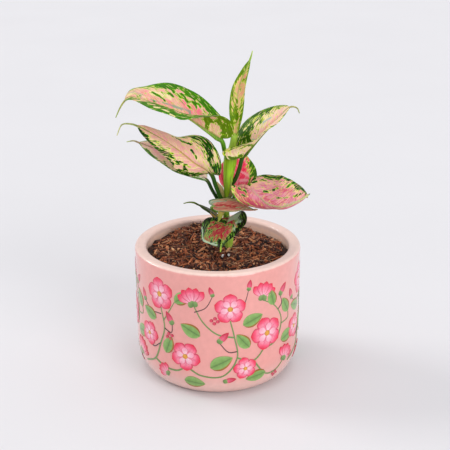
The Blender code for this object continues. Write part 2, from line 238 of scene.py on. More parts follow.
def sheet_skin(top, under):
    """Points and faces of a closed thin sheet from two equal grids of points."""
    rows, columns = top.shape[:2]
    size = rows * columns
    grid = np.arange(size).reshape(rows, columns)
    a, b, c, d = grid[:-1, :-1], grid[:-1, 1:], grid[1:, 1:], grid[1:, :-1]
    faces = np.stack([a, b, c, d], -1).reshape(-1, 4).tolist()
    faces += (np.stack([d, c, b, a], -1).reshape(-1, 4) + size).tolist()
    rim = list(grid[0]) + list(grid[1:, -1]) + list(grid[-1, -2::-1]) + list(grid[-2:0:-1, 0])
    for here, ahead in zip(rim, rim[1:] + rim[:1]):
        faces.append((ahead, here, here + size, ahead + size))
    return np.vstack([top.reshape(-1, 3), under.reshape(-1, 3)]), faces


# %% Geometry Nodes helpers
def gather(name, objects):
    """A collection of shapes for the scatter tree to pick from, kept out of the scene."""
    group = bpy.data.collections.new(name)
    for obj in objects:
        bpy.context.scene.collection.objects.unlink(obj)
        group.objects.link(obj)
    return group


def node_group(name, sockets):
    """An empty geometry tree with its named inputs, and the sockets that carry their values."""
    tree = bpy.data.node_groups.new(name, "GeometryNodeTree")
    for label, kind in {"Geometry": "Geometry", **sockets}.items():
        tree.interface.new_socket(label, in_out="INPUT", socket_type="NodeSocket" + kind)
    tree.interface.new_socket("Geometry", in_out="OUTPUT", socket_type="NodeSocketGeometry")
    return tree, add(tree, "NodeGroupInput").outputs


def run_tree(name, ground, tree, values):
    """The tree's result on a mesh as a plain mesh object, with the modifier gone."""
    modifier = ground.modifiers.new(tree.name, "NODES")
    modifier.node_group = tree
    for item in tree.interface.items_tree:
        if item.in_out == "INPUT" and item.name in values:
            modifier[item.identifier] = values[item.name]
    evaluated = ground.evaluated_get(bpy.context.evaluated_depsgraph_get())
    mesh = bpy.data.meshes.new_from_object(evaluated)
    ground.modifiers.remove(modifier)
    mesh.name = name
    obj = bpy.data.objects.new(name, mesh)
    bpy.context.scene.collection.objects.link(obj)
    return obj


# %% [markdown]
# ## The planter
#
# The planter is slip-cast earthenware: a straight cup with a wide rounded foot, a thick rolled rim
# and a soft pink glaze, left cream and satin on the rim and inside. A potter would turn its mould on
# a lathe, so the mesh is turned too: one profile is drawn from the middle of the foot round the rim
# to the inside floor, and swept round the axis. A fine profile keeps its outline round in a close
# view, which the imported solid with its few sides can't.

# %% Profile of the planter
pot_low, pot_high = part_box("pot")
POT_RADIUS = pot_high.x / MM
POT_HEIGHT = pot_high.z / MM
RIM_WIDTH = 8.5
MOUTH_RADIUS = POT_RADIUS - RIM_WIDTH
FOOT_RADIUS = POT_RADIUS * 0.75
FOOT_HEIGHT = 28.0
WALL_TAPER = 0.4
RIM_ROUNDING = 2.6
FLOOR_THICKNESS = 8.0
INNER_CORNER = 20.0
POT_SEGMENTS = 224


def quarter(centre_r, centre_z, radius_r, radius_z, start, end, steps):
    """Points of an ellipse's arc, from a start to an end angle in degrees."""
    angles = np.radians(np.linspace(start, end, steps + 1))
    return [(centre_r + radius_r * math.cos(a), centre_z + radius_z * math.sin(a)) for a in angles]


LOW_RADIUS = POT_RADIUS - WALL_TAPER
RIM_BASE = POT_HEIGHT - RIM_ROUNDING
outside = quarter(FOOT_RADIUS, FOOT_HEIGHT, LOW_RADIUS - FOOT_RADIUS, FOOT_HEIGHT, -90, 0, 28)
outside += [(LOW_RADIUS + WALL_TAPER * (z - FOOT_HEIGHT) / (POT_HEIGHT - FOOT_HEIGHT), z)
            for z in np.linspace(FOOT_HEIGHT, RIM_BASE, 24)[1:-1]]
rim = quarter(POT_RADIUS - RIM_ROUNDING, RIM_BASE, RIM_ROUNDING, RIM_ROUNDING, 0, 90, 10)
rim += quarter(MOUTH_RADIUS + RIM_ROUNDING, RIM_BASE, RIM_ROUNDING, RIM_ROUNDING, 90, 180, 10)
inside = [(MOUTH_RADIUS, z) for z in np.linspace(RIM_BASE, FLOOR_THICKNESS + INNER_CORNER, 12)[1:-1]]
inside += quarter(MOUTH_RADIUS - INNER_CORNER, FLOOR_THICKNESS + INNER_CORNER, INNER_CORNER,
                  INNER_CORNER, 0, -90, 8)
profile = outside + rim + inside

turns = np.linspace(0, 2 * math.pi, POT_SEGMENTS, endpoint=False)
pot_points = [(r * math.cos(a), r * math.sin(a), z) for r, z in profile for a in turns]
pole = len(pot_points)
pot_points += [(0, 0, 0), (0, 0, FLOOR_THICKNESS)]
pot_faces = join_rings(len(profile), POT_SEGMENTS) + close_ring(0, POT_SEGMENTS, pole)
pot_faces += close_ring(pole - POT_SEGMENTS, POT_SEGMENTS, pole + 1)
print("planter profile:", len(profile), "points, wall", POT_RADIUS, "x", POT_HEIGHT, "mm")

# %% [markdown]
# ## Glazed earthenware
#
# A fired glaze is a thin layer of coloured glass: a clear, sharp gloss over a soft colour that drifts
# a little from place to place, where the coat ran thicker or thinner. The rim and the inside carry a
# matt cream engobe instead. Each point of the mesh stores how far round the rim it lies, and the
# colour and the roughness follow that value, so the change sits exactly on the rounded edge.

# %% Glaze material
GLAZE_PINK = "#EDA69E"
GLAZE_DEEP = "#E79C94"
FOOT_PINK = "#E8BDB3"
RIM_CREAM = "#EFD0C3"
INNER_BEIGE = "#FFD9C2"


def glazed_earthenware():
    """Fired clay under a glossy pink glaze, paler at the foot, with a matt cream rim and inside."""
    mat, tree, shader = new_material("glazed_earthenware")
    place = add(tree, "ShaderNodeTexCoord").outputs["Object"]
    # The glaze drifts over about 40 mm, and holds a finer mottle of about 4 mm
    drift = add(tree, "ShaderNodeTexNoise", {"Vector": place, "Scale": 25.0, "Detail": 2.0})
    mottle = add(tree, "ShaderNodeTexNoise", {"Vector": place, "Scale": 240.0, "Detail": 3.0})
    wall = add(tree, "ShaderNodeMix", {0: drift, 6: GLAZE_PINK, 7: GLAZE_DEEP}, data_type="RGBA")
    height = add(tree, "ShaderNodeSeparateXYZ", {0: place})
    # The glaze pales from 26 down to 4 mm above the foot
    low = add(tree, "ShaderNodeMapRange", {0: height.outputs["Z"], 1: 0.004, 2: 0.026, 3: 1.0, 4: 0.0},
              interpolation_type="SMOOTHSTEP")
    wall = add(tree, "ShaderNodeMix", {0: low, 6: wall, 7: FOOT_PINK}, data_type="RGBA")
    zone = add(tree, "ShaderNodeAttribute", attribute_name="rimward")
    ragged = add(tree, "ShaderNodeMath", {0: mottle, 1: 0.25}, operation="MULTIPLY")
    edge = add(tree, "ShaderNodeMath", {0: zone.outputs["Fac"], 1: ragged}, operation="ADD")
    on_rim = add(tree, "ShaderNodeMapRange", {0: edge, 1: 0.35, 2: 0.85}, interpolation_type="SMOOTHSTEP")
    inside = add(tree, "ShaderNodeMapRange", {0: edge, 1: 1.7, 2: 2.3}, interpolation_type="SMOOTHSTEP")
    bare = add(tree, "ShaderNodeMix", {0: inside, 6: RIM_CREAM, 7: INNER_BEIGE}, data_type="RGBA")
    colour = add(tree, "ShaderNodeMix", {0: on_rim, 6: wall, 7: bare}, data_type="RGBA")
    speck = add(tree, "ShaderNodeMapRange", {0: mottle, 1: 0.3, 2: 0.7, 3: 0.96, 4: 1.03})
    toned = add(tree, "ShaderNodeVectorMath", {0: colour, 1: speck}, operation="MULTIPLY")
    rough = add(tree, "ShaderNodeMapRange", {0: on_rim, 3: 0.16, 4: 0.5})
    ripple = add(tree, "ShaderNodeBump", {"Strength": 0.12, "Distance": 0.0006, "Height": drift})
    wire(tree, shader, {"Base Color": toned, "Roughness": rough, "Normal": ripple, "IOR": 1.5,
                        "Coat Weight": 0.55, "Coat Roughness": 0.06})
    return mat


glaze = glazed_earthenware()
planter = mesh_object("planter", pot_points, pot_faces, [glaze])
# 0 on the wall, ON_RIM over the rim, and on to INSIDE 8 mm down the inner wall
ON_RIM, INSIDE = 1.4, 3.0
rimward = [0.0] * len(outside) + [min(ON_RIM, ON_RIM * k / 9) for k in range(len(rim))]
rimward += [ON_RIM + (INSIDE - ON_RIM) * min((POT_HEIGHT - z) / 8, 1.0) for _, z in inside]
store(planter, "rimward", list(np.repeat(rimward, POT_SEGMENTS)) + [0.0, INSIDE])
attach(planter, "root")
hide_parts("pot")
count_faces(planter)

# %% [markdown]
# ## The floral print
#
# The planter carries a bright printed decoration under a clear gloss. This one is a plain floral
# filler: sprigs of five-petalled blossoms, buds, berries and leaves on wandering stems. Each motif is
# a few thin flat petals with their own colours stored on the points, drawn once. A table says where
# they sit on the unrolled wall, and Geometry Nodes place them, repeat the panel round the cup and
# bend it onto the wall.

# %% Motifs of the print
PRINT_THICKNESS = 0.05
PRINT_LIFT = 0.12


def flat_piece(width, length, colour, at=(0.0, 0.0), turn=0.0, layer=0, shape=None, rows=12, columns=9):
    """A thin flat petal or leaf. It grows from a point, upward when turn is 0, and its colour is a
    function of how far across (-1 to 1) and how far up (0 to 1) a point lies."""
    shape = shape or (lambda v: np.sin(math.pi * v**0.8) ** 0.75)
    v = np.linspace(0, 1, rows)[:, None]
    u = np.linspace(-1, 1, columns)[None, :]
    half_width = np.maximum(width / 2 * shape(v), 0.04)
    x, z = u * half_width, v * length + 0 * u
    c, n = math.cos(math.radians(turn)), math.sin(math.radians(turn))
    proud = PRINT_LIFT + PRINT_THICKNESS * (layer + 1)
    top = np.stack([at[0] + c * x - n * z, 0 * x - proud, at[1] + n * x + c * z], -1)
    back = top + np.array([0.0, proud + PRINT_LIFT, 0.0])
    points, faces = sheet_skin(top, back)
    ink = np.array([[colour(float(a), float(b)) for a in u[0]] for b in v[:, 0]]).reshape(-1, 3)
    return points, faces, np.vstack([ink, ink])


def blend(first, second, share):
    """A colour between two others, in linear light."""
    share = min(max(share, 0.0), 1.0)
    return tuple(a + (b - a) * share for a, b in zip(paint(first)[:3], paint(second)[:3]))


def petal_colour(u, v):
    """Pale at the throat, deep at the tip, with a darker rim."""
    if abs(u) > 0.9:
        return paint("#D02A50")[:3]
    if abs(u) < 0.1 and v < 0.7:
        return paint("#EE7090")[:3]
    if v > 0.72:
        return blend("#F4567A", "#E3173C", (v - 0.72) * 4.5)
    return blend("#FAC2D0", "#F4567A", (v - 0.2) * 1.6 + 0.2 * abs(u))


def inner_petal_colour(u, v):
    """Pale pink with a rosy rim."""
    if abs(u) > 0.85 or v > 0.95:
        return paint("#DC4068")[:3]
    return blend("#FCDDE4", "#F691AC", v)


def leaf_colour(u, v):
    """Soft green with a paler middle line, and an ochre rim on one side."""
    if u > 0.7:
        return blend("#8A5A14", "#A8741F", v)
    if abs(u) < 0.12:
        return paint("#587A3C")[:3]
    return blend("#6F9A48", "#8DB464", abs(u) + 0.15 * math.sin(20 * v))


def bud_colour(u, v):
    """Pink at the foot and crimson at the tip."""
    return blend("#F47A98", "#C8143C", v + 0.4 * abs(u))


def calyx_colour(u, v):
    """Green, paler towards the tip."""
    return blend("#5E8040", "#86A860", v)


def centre_colour(u, v):
    """Amber, browner towards the rim."""
    return blend("#E8A63A", "#B9772A", abs(u) * 0.8)


def berry_colour(u, v):
    """Red with a lit side."""
    return blend("#E8506A", "#B92844", abs(u + 0.2) + 0.2 * v)


def disc(v):
    """Outline of a round piece."""
    return np.sqrt(np.clip(1 - (2 * v - 1) ** 2, 0, 1))


def rounded(v):
    """Outline of a petal, broadest above its middle."""
    return np.sin(math.pi * np.clip(v, 0, 1) ** 1.6) ** 0.8


def motif(name, pieces):
    """One mesh from flat pieces, with their colours stored on its points."""
    points, faces, inks, first = [], [], [], 0
    for p, f, ink in pieces:
        points.append(p)
        faces += [tuple(i + first for i in face) for face in f]
        inks.append(ink)
        first += len(p)
    obj = mesh_object(name, np.vstack(points), faces, smooth=False)
    store(obj, "ink", np.vstack(inks), "FLOAT_COLOR")
    return obj


def around(count, first, width, length, colour, layer, shape, start):
    """Petals round a centre, each starting a little way out from it."""
    pieces = []
    for k in range(count):
        angle = first + 360 * k / count
        a = math.radians(angle)
        pieces.append(flat_piece(width, length, colour, (-start * math.sin(a), start * math.cos(a)), angle,
                                 layer + 0.25 * (k % 2), shape))
    return pieces


# Sizes are for a blossom 20 mm across, a bud 9 mm long and a leaf 14 mm long
blossom = motif("motif_0_blossom",
                around(5, 0, 8.6, 9.6, petal_colour, 1, rounded, 0.4)
                + around(5, 36, 4.6, 6.0, inner_petal_colour, 3, rounded, 0.3)
                + [flat_piece(3.4, 3.4, centre_colour, (0, -1.7), 0, 5, disc, 9, 7)])
half_open = motif("motif_1_half_open",
                  [flat_piece(5.6, 11.0, petal_colour, (0, 0), angle, layer, rounded)
                   for angle, layer in ((-52, 1), (52, 1.25), (-26, 2), (26, 2.25), (0, 3))]
                  + [flat_piece(4.2, 4.0, calyx_colour, (0, -1.6), angle, 4 + abs(angle) / 80)
                     for angle in (-40, 40, 0)])
bud = motif("motif_2_bud", [flat_piece(4.4, 9.0, bud_colour, layer=1),
                            flat_piece(2.6, 3.6, calyx_colour, (0, -0.8), 22, 2),
                            flat_piece(2.6, 3.6, calyx_colour, (0, -0.8), -22, 2.3)])
leaf_print = motif("motif_3_leaf", [flat_piece(8.6, 14.0, leaf_colour, layer=1, columns=13)])
berries = motif("motif_4_berries", [flat_piece(2.6, 2.6, berry_colour, at, 0, 1 + k * 0.3, disc, 9, 7)
                                    for k, at in enumerate(((0, 0), (2.4, 1.6), (-2.0, 2.2), (0.5, 3.8)))])
motifs = gather("print motifs", [blossom, half_open, bud, leaf_print, berries])

# %% [markdown]
# The panel below is laid out on the unrolled wall: across in mm from the panel's middle, and up in mm
# from the foot. It covers a third of the cup's girth.

# %% Layout of the print
BLOSSOM, HALF_OPEN, BUD, LEAF, BERRIES = range(5)
PLACEMENTS = [
    # motif, across, up, turn, size
    (BLOSSOM, -44, 76, 10, 1.25), (BLOSSOM, -23, 33, 40, 1.15), (BLOSSOM, 9, 71, 0, 1.15),
    (BLOSSOM, 37, 48, 20, 1.3), (BLOSSOM, 20, 24, 12, 0.9), (BLOSSOM, -56, 42, 50, 0.95),
    (HALF_OPEN, -17, 74, 14, 1.15), (HALF_OPEN, 33, 76, -16, 1.1), (HALF_OPEN, -39, 15, 60, 0.8),
    (HALF_OPEN, 55, 22, -30, 1.0),
    (BUD, -33, 56, 32, 1.1), (BUD, 1, 46, -44, 1.1), (BUD, 49, 74, -40, 1.1), (BUD, 22, 84, -10, 0.85),
    (BUD, -61, 66, 20, 1.0), (BUD, 5, 14, -78, 1.0), (BUD, -3, 81, 20, 0.8),
    (LEAF, -31, 73, -56, 1.1), (LEAF, -48, 56, 70, 1.05), (LEAF, -12, 50, 62, 1.15), (LEAF, -5, 26, -64, 1.25),
    (LEAF, 18, 58, -70, 1.15), (LEAF, 23, 40, 40, 1.05), (LEAF, 51, 38, -80, 1.15), (LEAF, 43, 68, 16, 0.95),
    (LEAF, -39, 32, -20, 1.05), (LEAF, 37, 17, 100, 1.15), (LEAF, 59, 58, 30, 1.0), (LEAF, -25, 13, -96, 1.15),
    (BERRIES, -2, 59, 0, 1.0), (BERRIES, -34, 43, 30, 1.0), (BERRIES, 47, 9, 0, 0.9),
    (BERRIES, -63, 20, 0, 0.9),
]
STEMS = [
    # width, colour, points across and up
    (1.3, "#6F9250", [(-63, 17), (-50, 24), (-44, 38), (-40, 51), (-43, 66)]),
    (1.3, "#6F9250", [(-50, 24), (-40, 20), (-30, 20), (-22, 24), (-12, 19), (4, 19), (14, 33), (12, 49),
                      (9, 62)]),
    (1.2, "#6F9250", [(14, 33), (26, 29), (34, 36), (37, 43)]),
    (1.1, "#6F9250", [(34, 36), (46, 40), (51, 54), (45, 66), (34, 74)]),
    (1.1, "#6F9250", [(12, 49), (0, 52), (-10, 61), (-16, 72)]),
    (1.2, "#6F9250", [(26, 29), (38, 15), (48, 15), (54, 20)]),
    (0.7, "#3F2C2C", [(-40, 51), (-34, 49), (-33, 56)]), (0.7, "#3F2C2C", [(-44, 38), (-52, 33), (-57, 40)]),
    (0.7, "#3F2C2C", [(-43, 61), (-54, 61), (-61, 66)]), (0.7, "#3F2C2C", [(14, 38), (8, 38), (1, 46)]),
    (0.7, "#3F2C2C", [(-16, 68), (-8, 72), (-3, 81)]), (0.7, "#3F2C2C", [(47, 63), (51, 67), (49, 74)]),
    (0.8, "#6F9250", [(-41, 56), (-35, 66), (-31, 73)]), (0.8, "#6F9250", [(51, 51), (59, 53), (59, 58)]),
    (0.7, "#3F2C2C", [(12, 64), (19, 74), (22, 84)]),
]


def print_stems():
    """The stems of a panel as thin ribbons along smooth lines."""
    pieces = []
    for number, (width, colour, places) in enumerate(STEMS):
        line = smooth_curve([(x, 0.0, z) for x, z in places], 8)
        ahead = unit(np.gradient(line, axis=0))
        side = np.stack([ahead[:, 2], 0 * ahead[:, 0], -ahead[:, 0]], 1)
        share = np.linspace(0, 1, len(line))[:, None]
        half_width = width / 2 * (1 - 0.35 * share)
        proud = np.array([0.0, PRINT_LIFT + PRINT_THICKNESS * (0.4 + 0.04 * number), 0.0])
        top = np.stack([line - side * half_width - proud, line - proud, line + side * half_width - proud], 1)
        points, faces = sheet_skin(top, top + proud + np.array([0.0, PRINT_LIFT, 0.0]))
        ink = np.tile(np.array(paint(colour)[:3]), (len(points), 1))
        pieces.append((points, faces, ink))
    return motif("print_stems", pieces)


def print_tree():
    """Geometry Nodes: place the motifs of a panel, repeat it round the cup and bend it on the wall."""
    tree, given = node_group("print on the wall", {
        "Motifs": "Collection", "Stems": "Object", "Repeats": "Int", "Girth": "Float", "Wall radius": "Float",
        "Foot radius": "Float", "Foot height": "Float", "Finish": "Material"})
    kind = add(tree, "GeometryNodeInputNamedAttribute", {"Name": "motif"}, data_type="INT")
    turn = add(tree, "GeometryNodeInputNamedAttribute", {"Name": "turn"}, data_type="FLOAT")
    size = add(tree, "GeometryNodeInputNamedAttribute", {"Name": "size"}, data_type="FLOAT")
    scale = add(tree, "ShaderNodeCombineXYZ", {"X": size, "Y": 1.0, "Z": size})
    angles = add(tree, "ShaderNodeCombineXYZ", {"Y": turn})
    spin = add(tree, "FunctionNodeEulerToRotation", {0: angles})
    shapes = add(tree, "GeometryNodeCollectionInfo",
                 {"Collection": given["Motifs"], "Separate Children": True, "Reset Children": True})
    placed = add(tree, "GeometryNodeInstanceOnPoints",
                 {"Points": given["Geometry"], "Instance": shapes, "Pick Instance": True,
                  "Instance Index": kind, "Rotation": spin, "Scale": scale})
    stems = add(tree, "GeometryNodeObjectInfo", {"Object": given["Stems"]})
    whole = add(tree, "GeometryNodeJoinGeometry", {"Geometry": placed})
    tree.links.new(stems.outputs["Geometry"], whole.inputs["Geometry"])
    step = add(tree, "ShaderNodeMath", {0: given["Girth"], 1: given["Repeats"]}, operation="DIVIDE")
    offset = add(tree, "ShaderNodeCombineXYZ", {"X": step})
    row = add(tree, "GeometryNodeMeshLine", {"Count": given["Repeats"], "Offset": offset})
    panels = add(tree, "GeometryNodeInstanceOnPoints", {"Points": row, "Instance": whole})
    real = add(tree, "GeometryNodeRealizeInstances", {"Geometry": panels})
    # Bend: across becomes an angle, and the wall's radius follows from the height
    here = add(tree, "ShaderNodeSeparateXYZ", {0: add(tree, "GeometryNodeInputPosition")})
    angle = add(tree, "ShaderNodeMath", {0: here.outputs["X"], 1: given["Wall radius"]}, operation="DIVIDE")
    drop = add(tree, "ShaderNodeMath", {0: here.outputs["Z"], 1: given["Foot height"]}, operation="DIVIDE")
    drop = add(tree, "ShaderNodeMath", {0: 1.0, 1: drop}, operation="SUBTRACT", use_clamp=True)
    drop = add(tree, "ShaderNodeMath", {0: drop, 1: 2.0}, operation="POWER")
    drop = add(tree, "ShaderNodeMath", {0: 1.0, 1: drop}, operation="SUBTRACT")
    drop = add(tree, "ShaderNodeMath", {0: drop}, operation="SQRT")
    extra = add(tree, "ShaderNodeMath", {0: given["Wall radius"], 1: given["Foot radius"]},
                operation="SUBTRACT")
    radius = add(tree, "ShaderNodeMath", {0: drop, 1: extra, 2: given["Foot radius"]},
                 operation="MULTIPLY_ADD")
    radius = add(tree, "ShaderNodeMath", {0: radius, 1: here.outputs["Y"]}, operation="SUBTRACT")
    sine = add(tree, "ShaderNodeMath", {0: angle}, operation="SINE")
    cosine = add(tree, "ShaderNodeMath", {0: angle}, operation="COSINE")
    x = add(tree, "ShaderNodeMath", {0: sine, 1: radius}, operation="MULTIPLY")
    y = add(tree, "ShaderNodeMath", {0: cosine, 1: radius}, operation="MULTIPLY")
    y = add(tree, "ShaderNodeMath", {0: y, 1: -1.0}, operation="MULTIPLY")
    bent = add(tree, "ShaderNodeCombineXYZ", {"X": x, "Y": y, "Z": here.outputs["Z"]})
    moved = add(tree, "GeometryNodeSetPosition", {"Geometry": real, "Position": bent})
    done = add(tree, "GeometryNodeSetMaterial", {"Geometry": moved, "Material": given["Finish"]})
    add(tree, "NodeGroupOutput", {"Geometry": done})
    return tree


def printed_colour():
    """Ceramic print under clear glaze: the ink's colour, a little mottled, with the wall's gloss."""
    mat, tree, shader = new_material("underglaze_print")
    place = add(tree, "ShaderNodeTexCoord").outputs["Object"]
    ink = add(tree, "ShaderNodeAttribute", attribute_name="ink")
    grain = add(tree, "ShaderNodeTexNoise", {"Vector": place, "Scale": 700.0, "Detail": 2.0})
    wash = add(tree, "ShaderNodeMapRange", {0: grain, 1: 0.3, 2: 0.7, 3: 0.9, 4: 1.08})
    toned = add(tree, "ShaderNodeVectorMath", {0: ink, 1: wash}, operation="MULTIPLY")
    wire(tree, shader, {"Base Color": toned, "Roughness": 0.2, "IOR": 1.5, "Coat Weight": 0.3,
                        "Coat Roughness": 0.06})
    return mat


table = mesh_object("table", [(x, 0.0, z) for _, x, z, _, _ in PLACEMENTS], [])
store(table, "motif", [p[0] for p in PLACEMENTS], "INT")
store(table, "turn", [-math.radians(p[3]) for p in PLACEMENTS])
store(table, "size", [p[4] for p in PLACEMENTS])
stems = print_stems()
WALL = POT_RADIUS - WALL_TAPER * 0.5
floral_print = run_tree("floral_print", table, print_tree(), {
    "Motifs": motifs, "Stems": stems, "Repeats": 3, "Girth": 2 * math.pi * WALL * MM, "Wall radius": WALL * MM,
    "Foot radius": FOOT_RADIUS * MM, "Foot height": FOOT_HEIGHT * MM, "Finish": printed_colour()})
for obj in [table, stems, *motifs.objects]:
    bpy.data.objects.remove(obj, do_unlink=True)
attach(floral_print, "root")
count_faces(floral_print)

# %% [markdown]
# ## The bed of potting mix
#
# Under the loose chips the mix is a dark, moist, lumpy bed. It is a closed body: a round grid of
# points lifted by a few waves, with a skirt down into the pot. The chips lie on it, so its own
# surface only shows in the gaps between them.

# %% Soil bed
SOIL_EDGE = 90.0
SOIL_MOUND = 2.4
# Where the mix was pushed up against the back wall or pressed down: place, reach and height in mm
SOIL_HEAPS = [((-17.0, 34.0), 12.0, 4.6), ((-38.0, 22.0), 9.0, -3.2), ((31.0, 28.0), 11.0, -3.2)]
SOIL_RADIUS = MOUTH_RADIUS - 0.5
SOIL_RINGS = 56
SOIL_SPOKES = 144
SOIL_SEED = 11
SKIRT_HEIGHTS, SKIRT_BOTTOM = (70.0, 50.0, 30.0), 12.0
waves_seed = np.random.default_rng(SOIL_SEED)
SOIL_WAVES = [(2 * math.pi / length, waves_seed.uniform(0, 2 * math.pi), waves_seed.uniform(0, 6.28), size)
              for length, size in ((33, 0.8), (21, 0.6), (14, 0.5), (9, 0.45), (6, 0.35), (4, 0.25),
                                   (2.7, 0.2))]


def soil_height(x, y):
    """Height of the bed: mounded in the middle, heaped at the back, and lumpy all over."""
    z = SOIL_EDGE + SOIL_MOUND * (1 - (x**2 + y**2) / SOIL_RADIUS**2)
    for (heap_x, heap_y), reach, size in SOIL_HEAPS:
        z = z + size * np.exp(-((x - heap_x) ** 2 + (y - heap_y) ** 2) / reach**2)
    for number, heading, phase, size in SOIL_WAVES:
        z = z + size * np.sin(number * (x * math.cos(heading) + y * math.sin(heading)) + phase)
    return z


def potting_mix():
    """Moist peat: nearly black brown, with crumbs of about 1 mm and a dull surface."""
    mat, tree, shader = new_material("moist_peat")
    place = add(tree, "ShaderNodeTexCoord").outputs["Object"]
    crumbs = add(tree, "ShaderNodeTexNoise", {"Vector": place, "Scale": 900.0, "Detail": 4.0,
                                              "Roughness": 0.65})
    tone = add(tree, "ShaderNodeValToRGB", {0: crumbs},
               stops=[(0.3, "#120804"), (0.5, "#2A140A"), (0.72, "#5A2E16")])
    relief = add(tree, "ShaderNodeBump", {"Strength": 0.8, "Distance": 0.0008, "Height": crumbs})
    wire(tree, shader, {"Base Color": tone, "Normal": relief, "Roughness": 0.9})
    return mat


spokes = np.linspace(0, 2 * math.pi, SOIL_SPOKES, endpoint=False)
bed_points = [(0.0, 0.0, float(soil_height(0.0, 0.0)))]
for r in np.linspace(0, SOIL_RADIUS, SOIL_RINGS + 1)[1:]:
    for a in spokes:
        x, y = r * math.cos(a), r * math.sin(a)
        bed_points.append((x, y, float(soil_height(x, y))))
for z in SKIRT_HEIGHTS:
    bed_points += [(SOIL_RADIUS * math.cos(a), SOIL_RADIUS * math.sin(a), z) for a in spokes]
bed_faces = close_ring(1, SOIL_SPOKES, 0) + join_rings(SOIL_RINGS + len(SKIRT_HEIGHTS), SOIL_SPOKES, 1)
bed_faces += close_ring(len(bed_points) - SOIL_SPOKES, SOIL_SPOKES, len(bed_points))
bed_points.append((0.0, 0.0, SKIRT_BOTTOM))
peat = potting_mix()
soil_bed = mesh_object("soil_bed", bed_points, bed_faces, [peat])
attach(soil_bed, "root")
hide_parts("soil")
count_faces(soil_bed)

# %% [markdown]
# ## Husk chips, crumbs and fibres
#
# The top of the mix is shredded coconut husk: splinters and flakes a few millimetres long, crumbs of
# pith and springy pale fibres. Placing over three thousand of them by hand is hopeless, so Geometry
# Nodes scatter them: points are strewn over the bed, and each picks a chip shape, a turn and a size.
# Every chip stores a random tone, which its material turns to one of the husk's browns.

# %% Shapes to scatter
def rough_chip(name, length, width, thickness, seed):
    """One splinter of husk: a bent, tapered, uneven bar."""
    rng = np.random.default_rng(seed)
    sections = []
    bend = rng.uniform(-0.25, 0.25)
    for k, u in enumerate(np.linspace(-1, 1, 5)):
        taper = (1 - 0.75 * abs(u) ** 3) * rng.uniform(0.75, 1.1)
        corners = rng.uniform(0.75, 1.2, (5, 2)) * [(-1, -1), (1, -0.8), (1, 1), (0.1, 1.3), (-1, 0.9)]
        sections.append([(u * length / 2, c[0] * width / 2 * taper + bend * length * u * u / 2,
                          c[1] * thickness / 2 * taper) for c in corners])
    points = [p for ring in sections for p in ring]
    faces = join_rings(5, 5) + [(4, 3, 2, 1, 0), (20, 21, 22, 23, 24)]
    return mesh_object(name, points, faces, smooth=False)


FIBRE_RADIUS = 0.17


def husk_fibre(name, length, curl, seed):
    """One springy hair of the husk, a thin round strand on a wandering line."""
    rng = np.random.default_rng(seed)
    u = np.linspace(-0.5, 0.5, 9)
    centres = np.stack([u * length, curl * length * (u**2 - 0.08) + rng.uniform(-0.4, 0.4, 9),
                        0.6 * np.sin(5 * u + rng.uniform(0, 6)) + rng.uniform(-0.15, 0.15, 9)], axis=1)
    line = smooth_curve(centres, 2)
    points, faces = round_skin(line, np.full(len(line), FIBRE_RADIUS), np.array([0.0, 0.0, 1.0]), 5)
    return mesh_object(name, points, faces)


# Length, width and thickness of each chip shape, and length and curl of each fibre
CHIP_SIZES = ((8.0, 1.9, 1.1), (6.5, 1.6, 1.2), (5.2, 2.7, 1.1), (4.8, 1.5, 1.3), (10.0, 1.1, 0.8),
              (3.8, 2.6, 1.6))
FIBRES = ((16, 0.5), (22, 0.3), (12, 0.9), (19, -0.6), (9, 0.2))
chip_shapes = gather("husk chips", [rough_chip(f"chip_{k}", *size, 20 + k)
                                    for k, size in enumerate(CHIP_SIZES)])
crumb_shapes = gather("husk crumbs", [rough_chip(f"crumb_{k}", 1.9, 1.3, 1.1, 40 + k) for k in range(3)])
fibre_shapes = gather("husk fibres", [husk_fibre(f"fibre_{k}", length, curl, 60 + k)
                                      for k, (length, curl) in enumerate(FIBRES)])
print("shapes to scatter:", len(CHIP_SIZES), "chips, 3 crumbs and", len(FIBRES), "fibres")


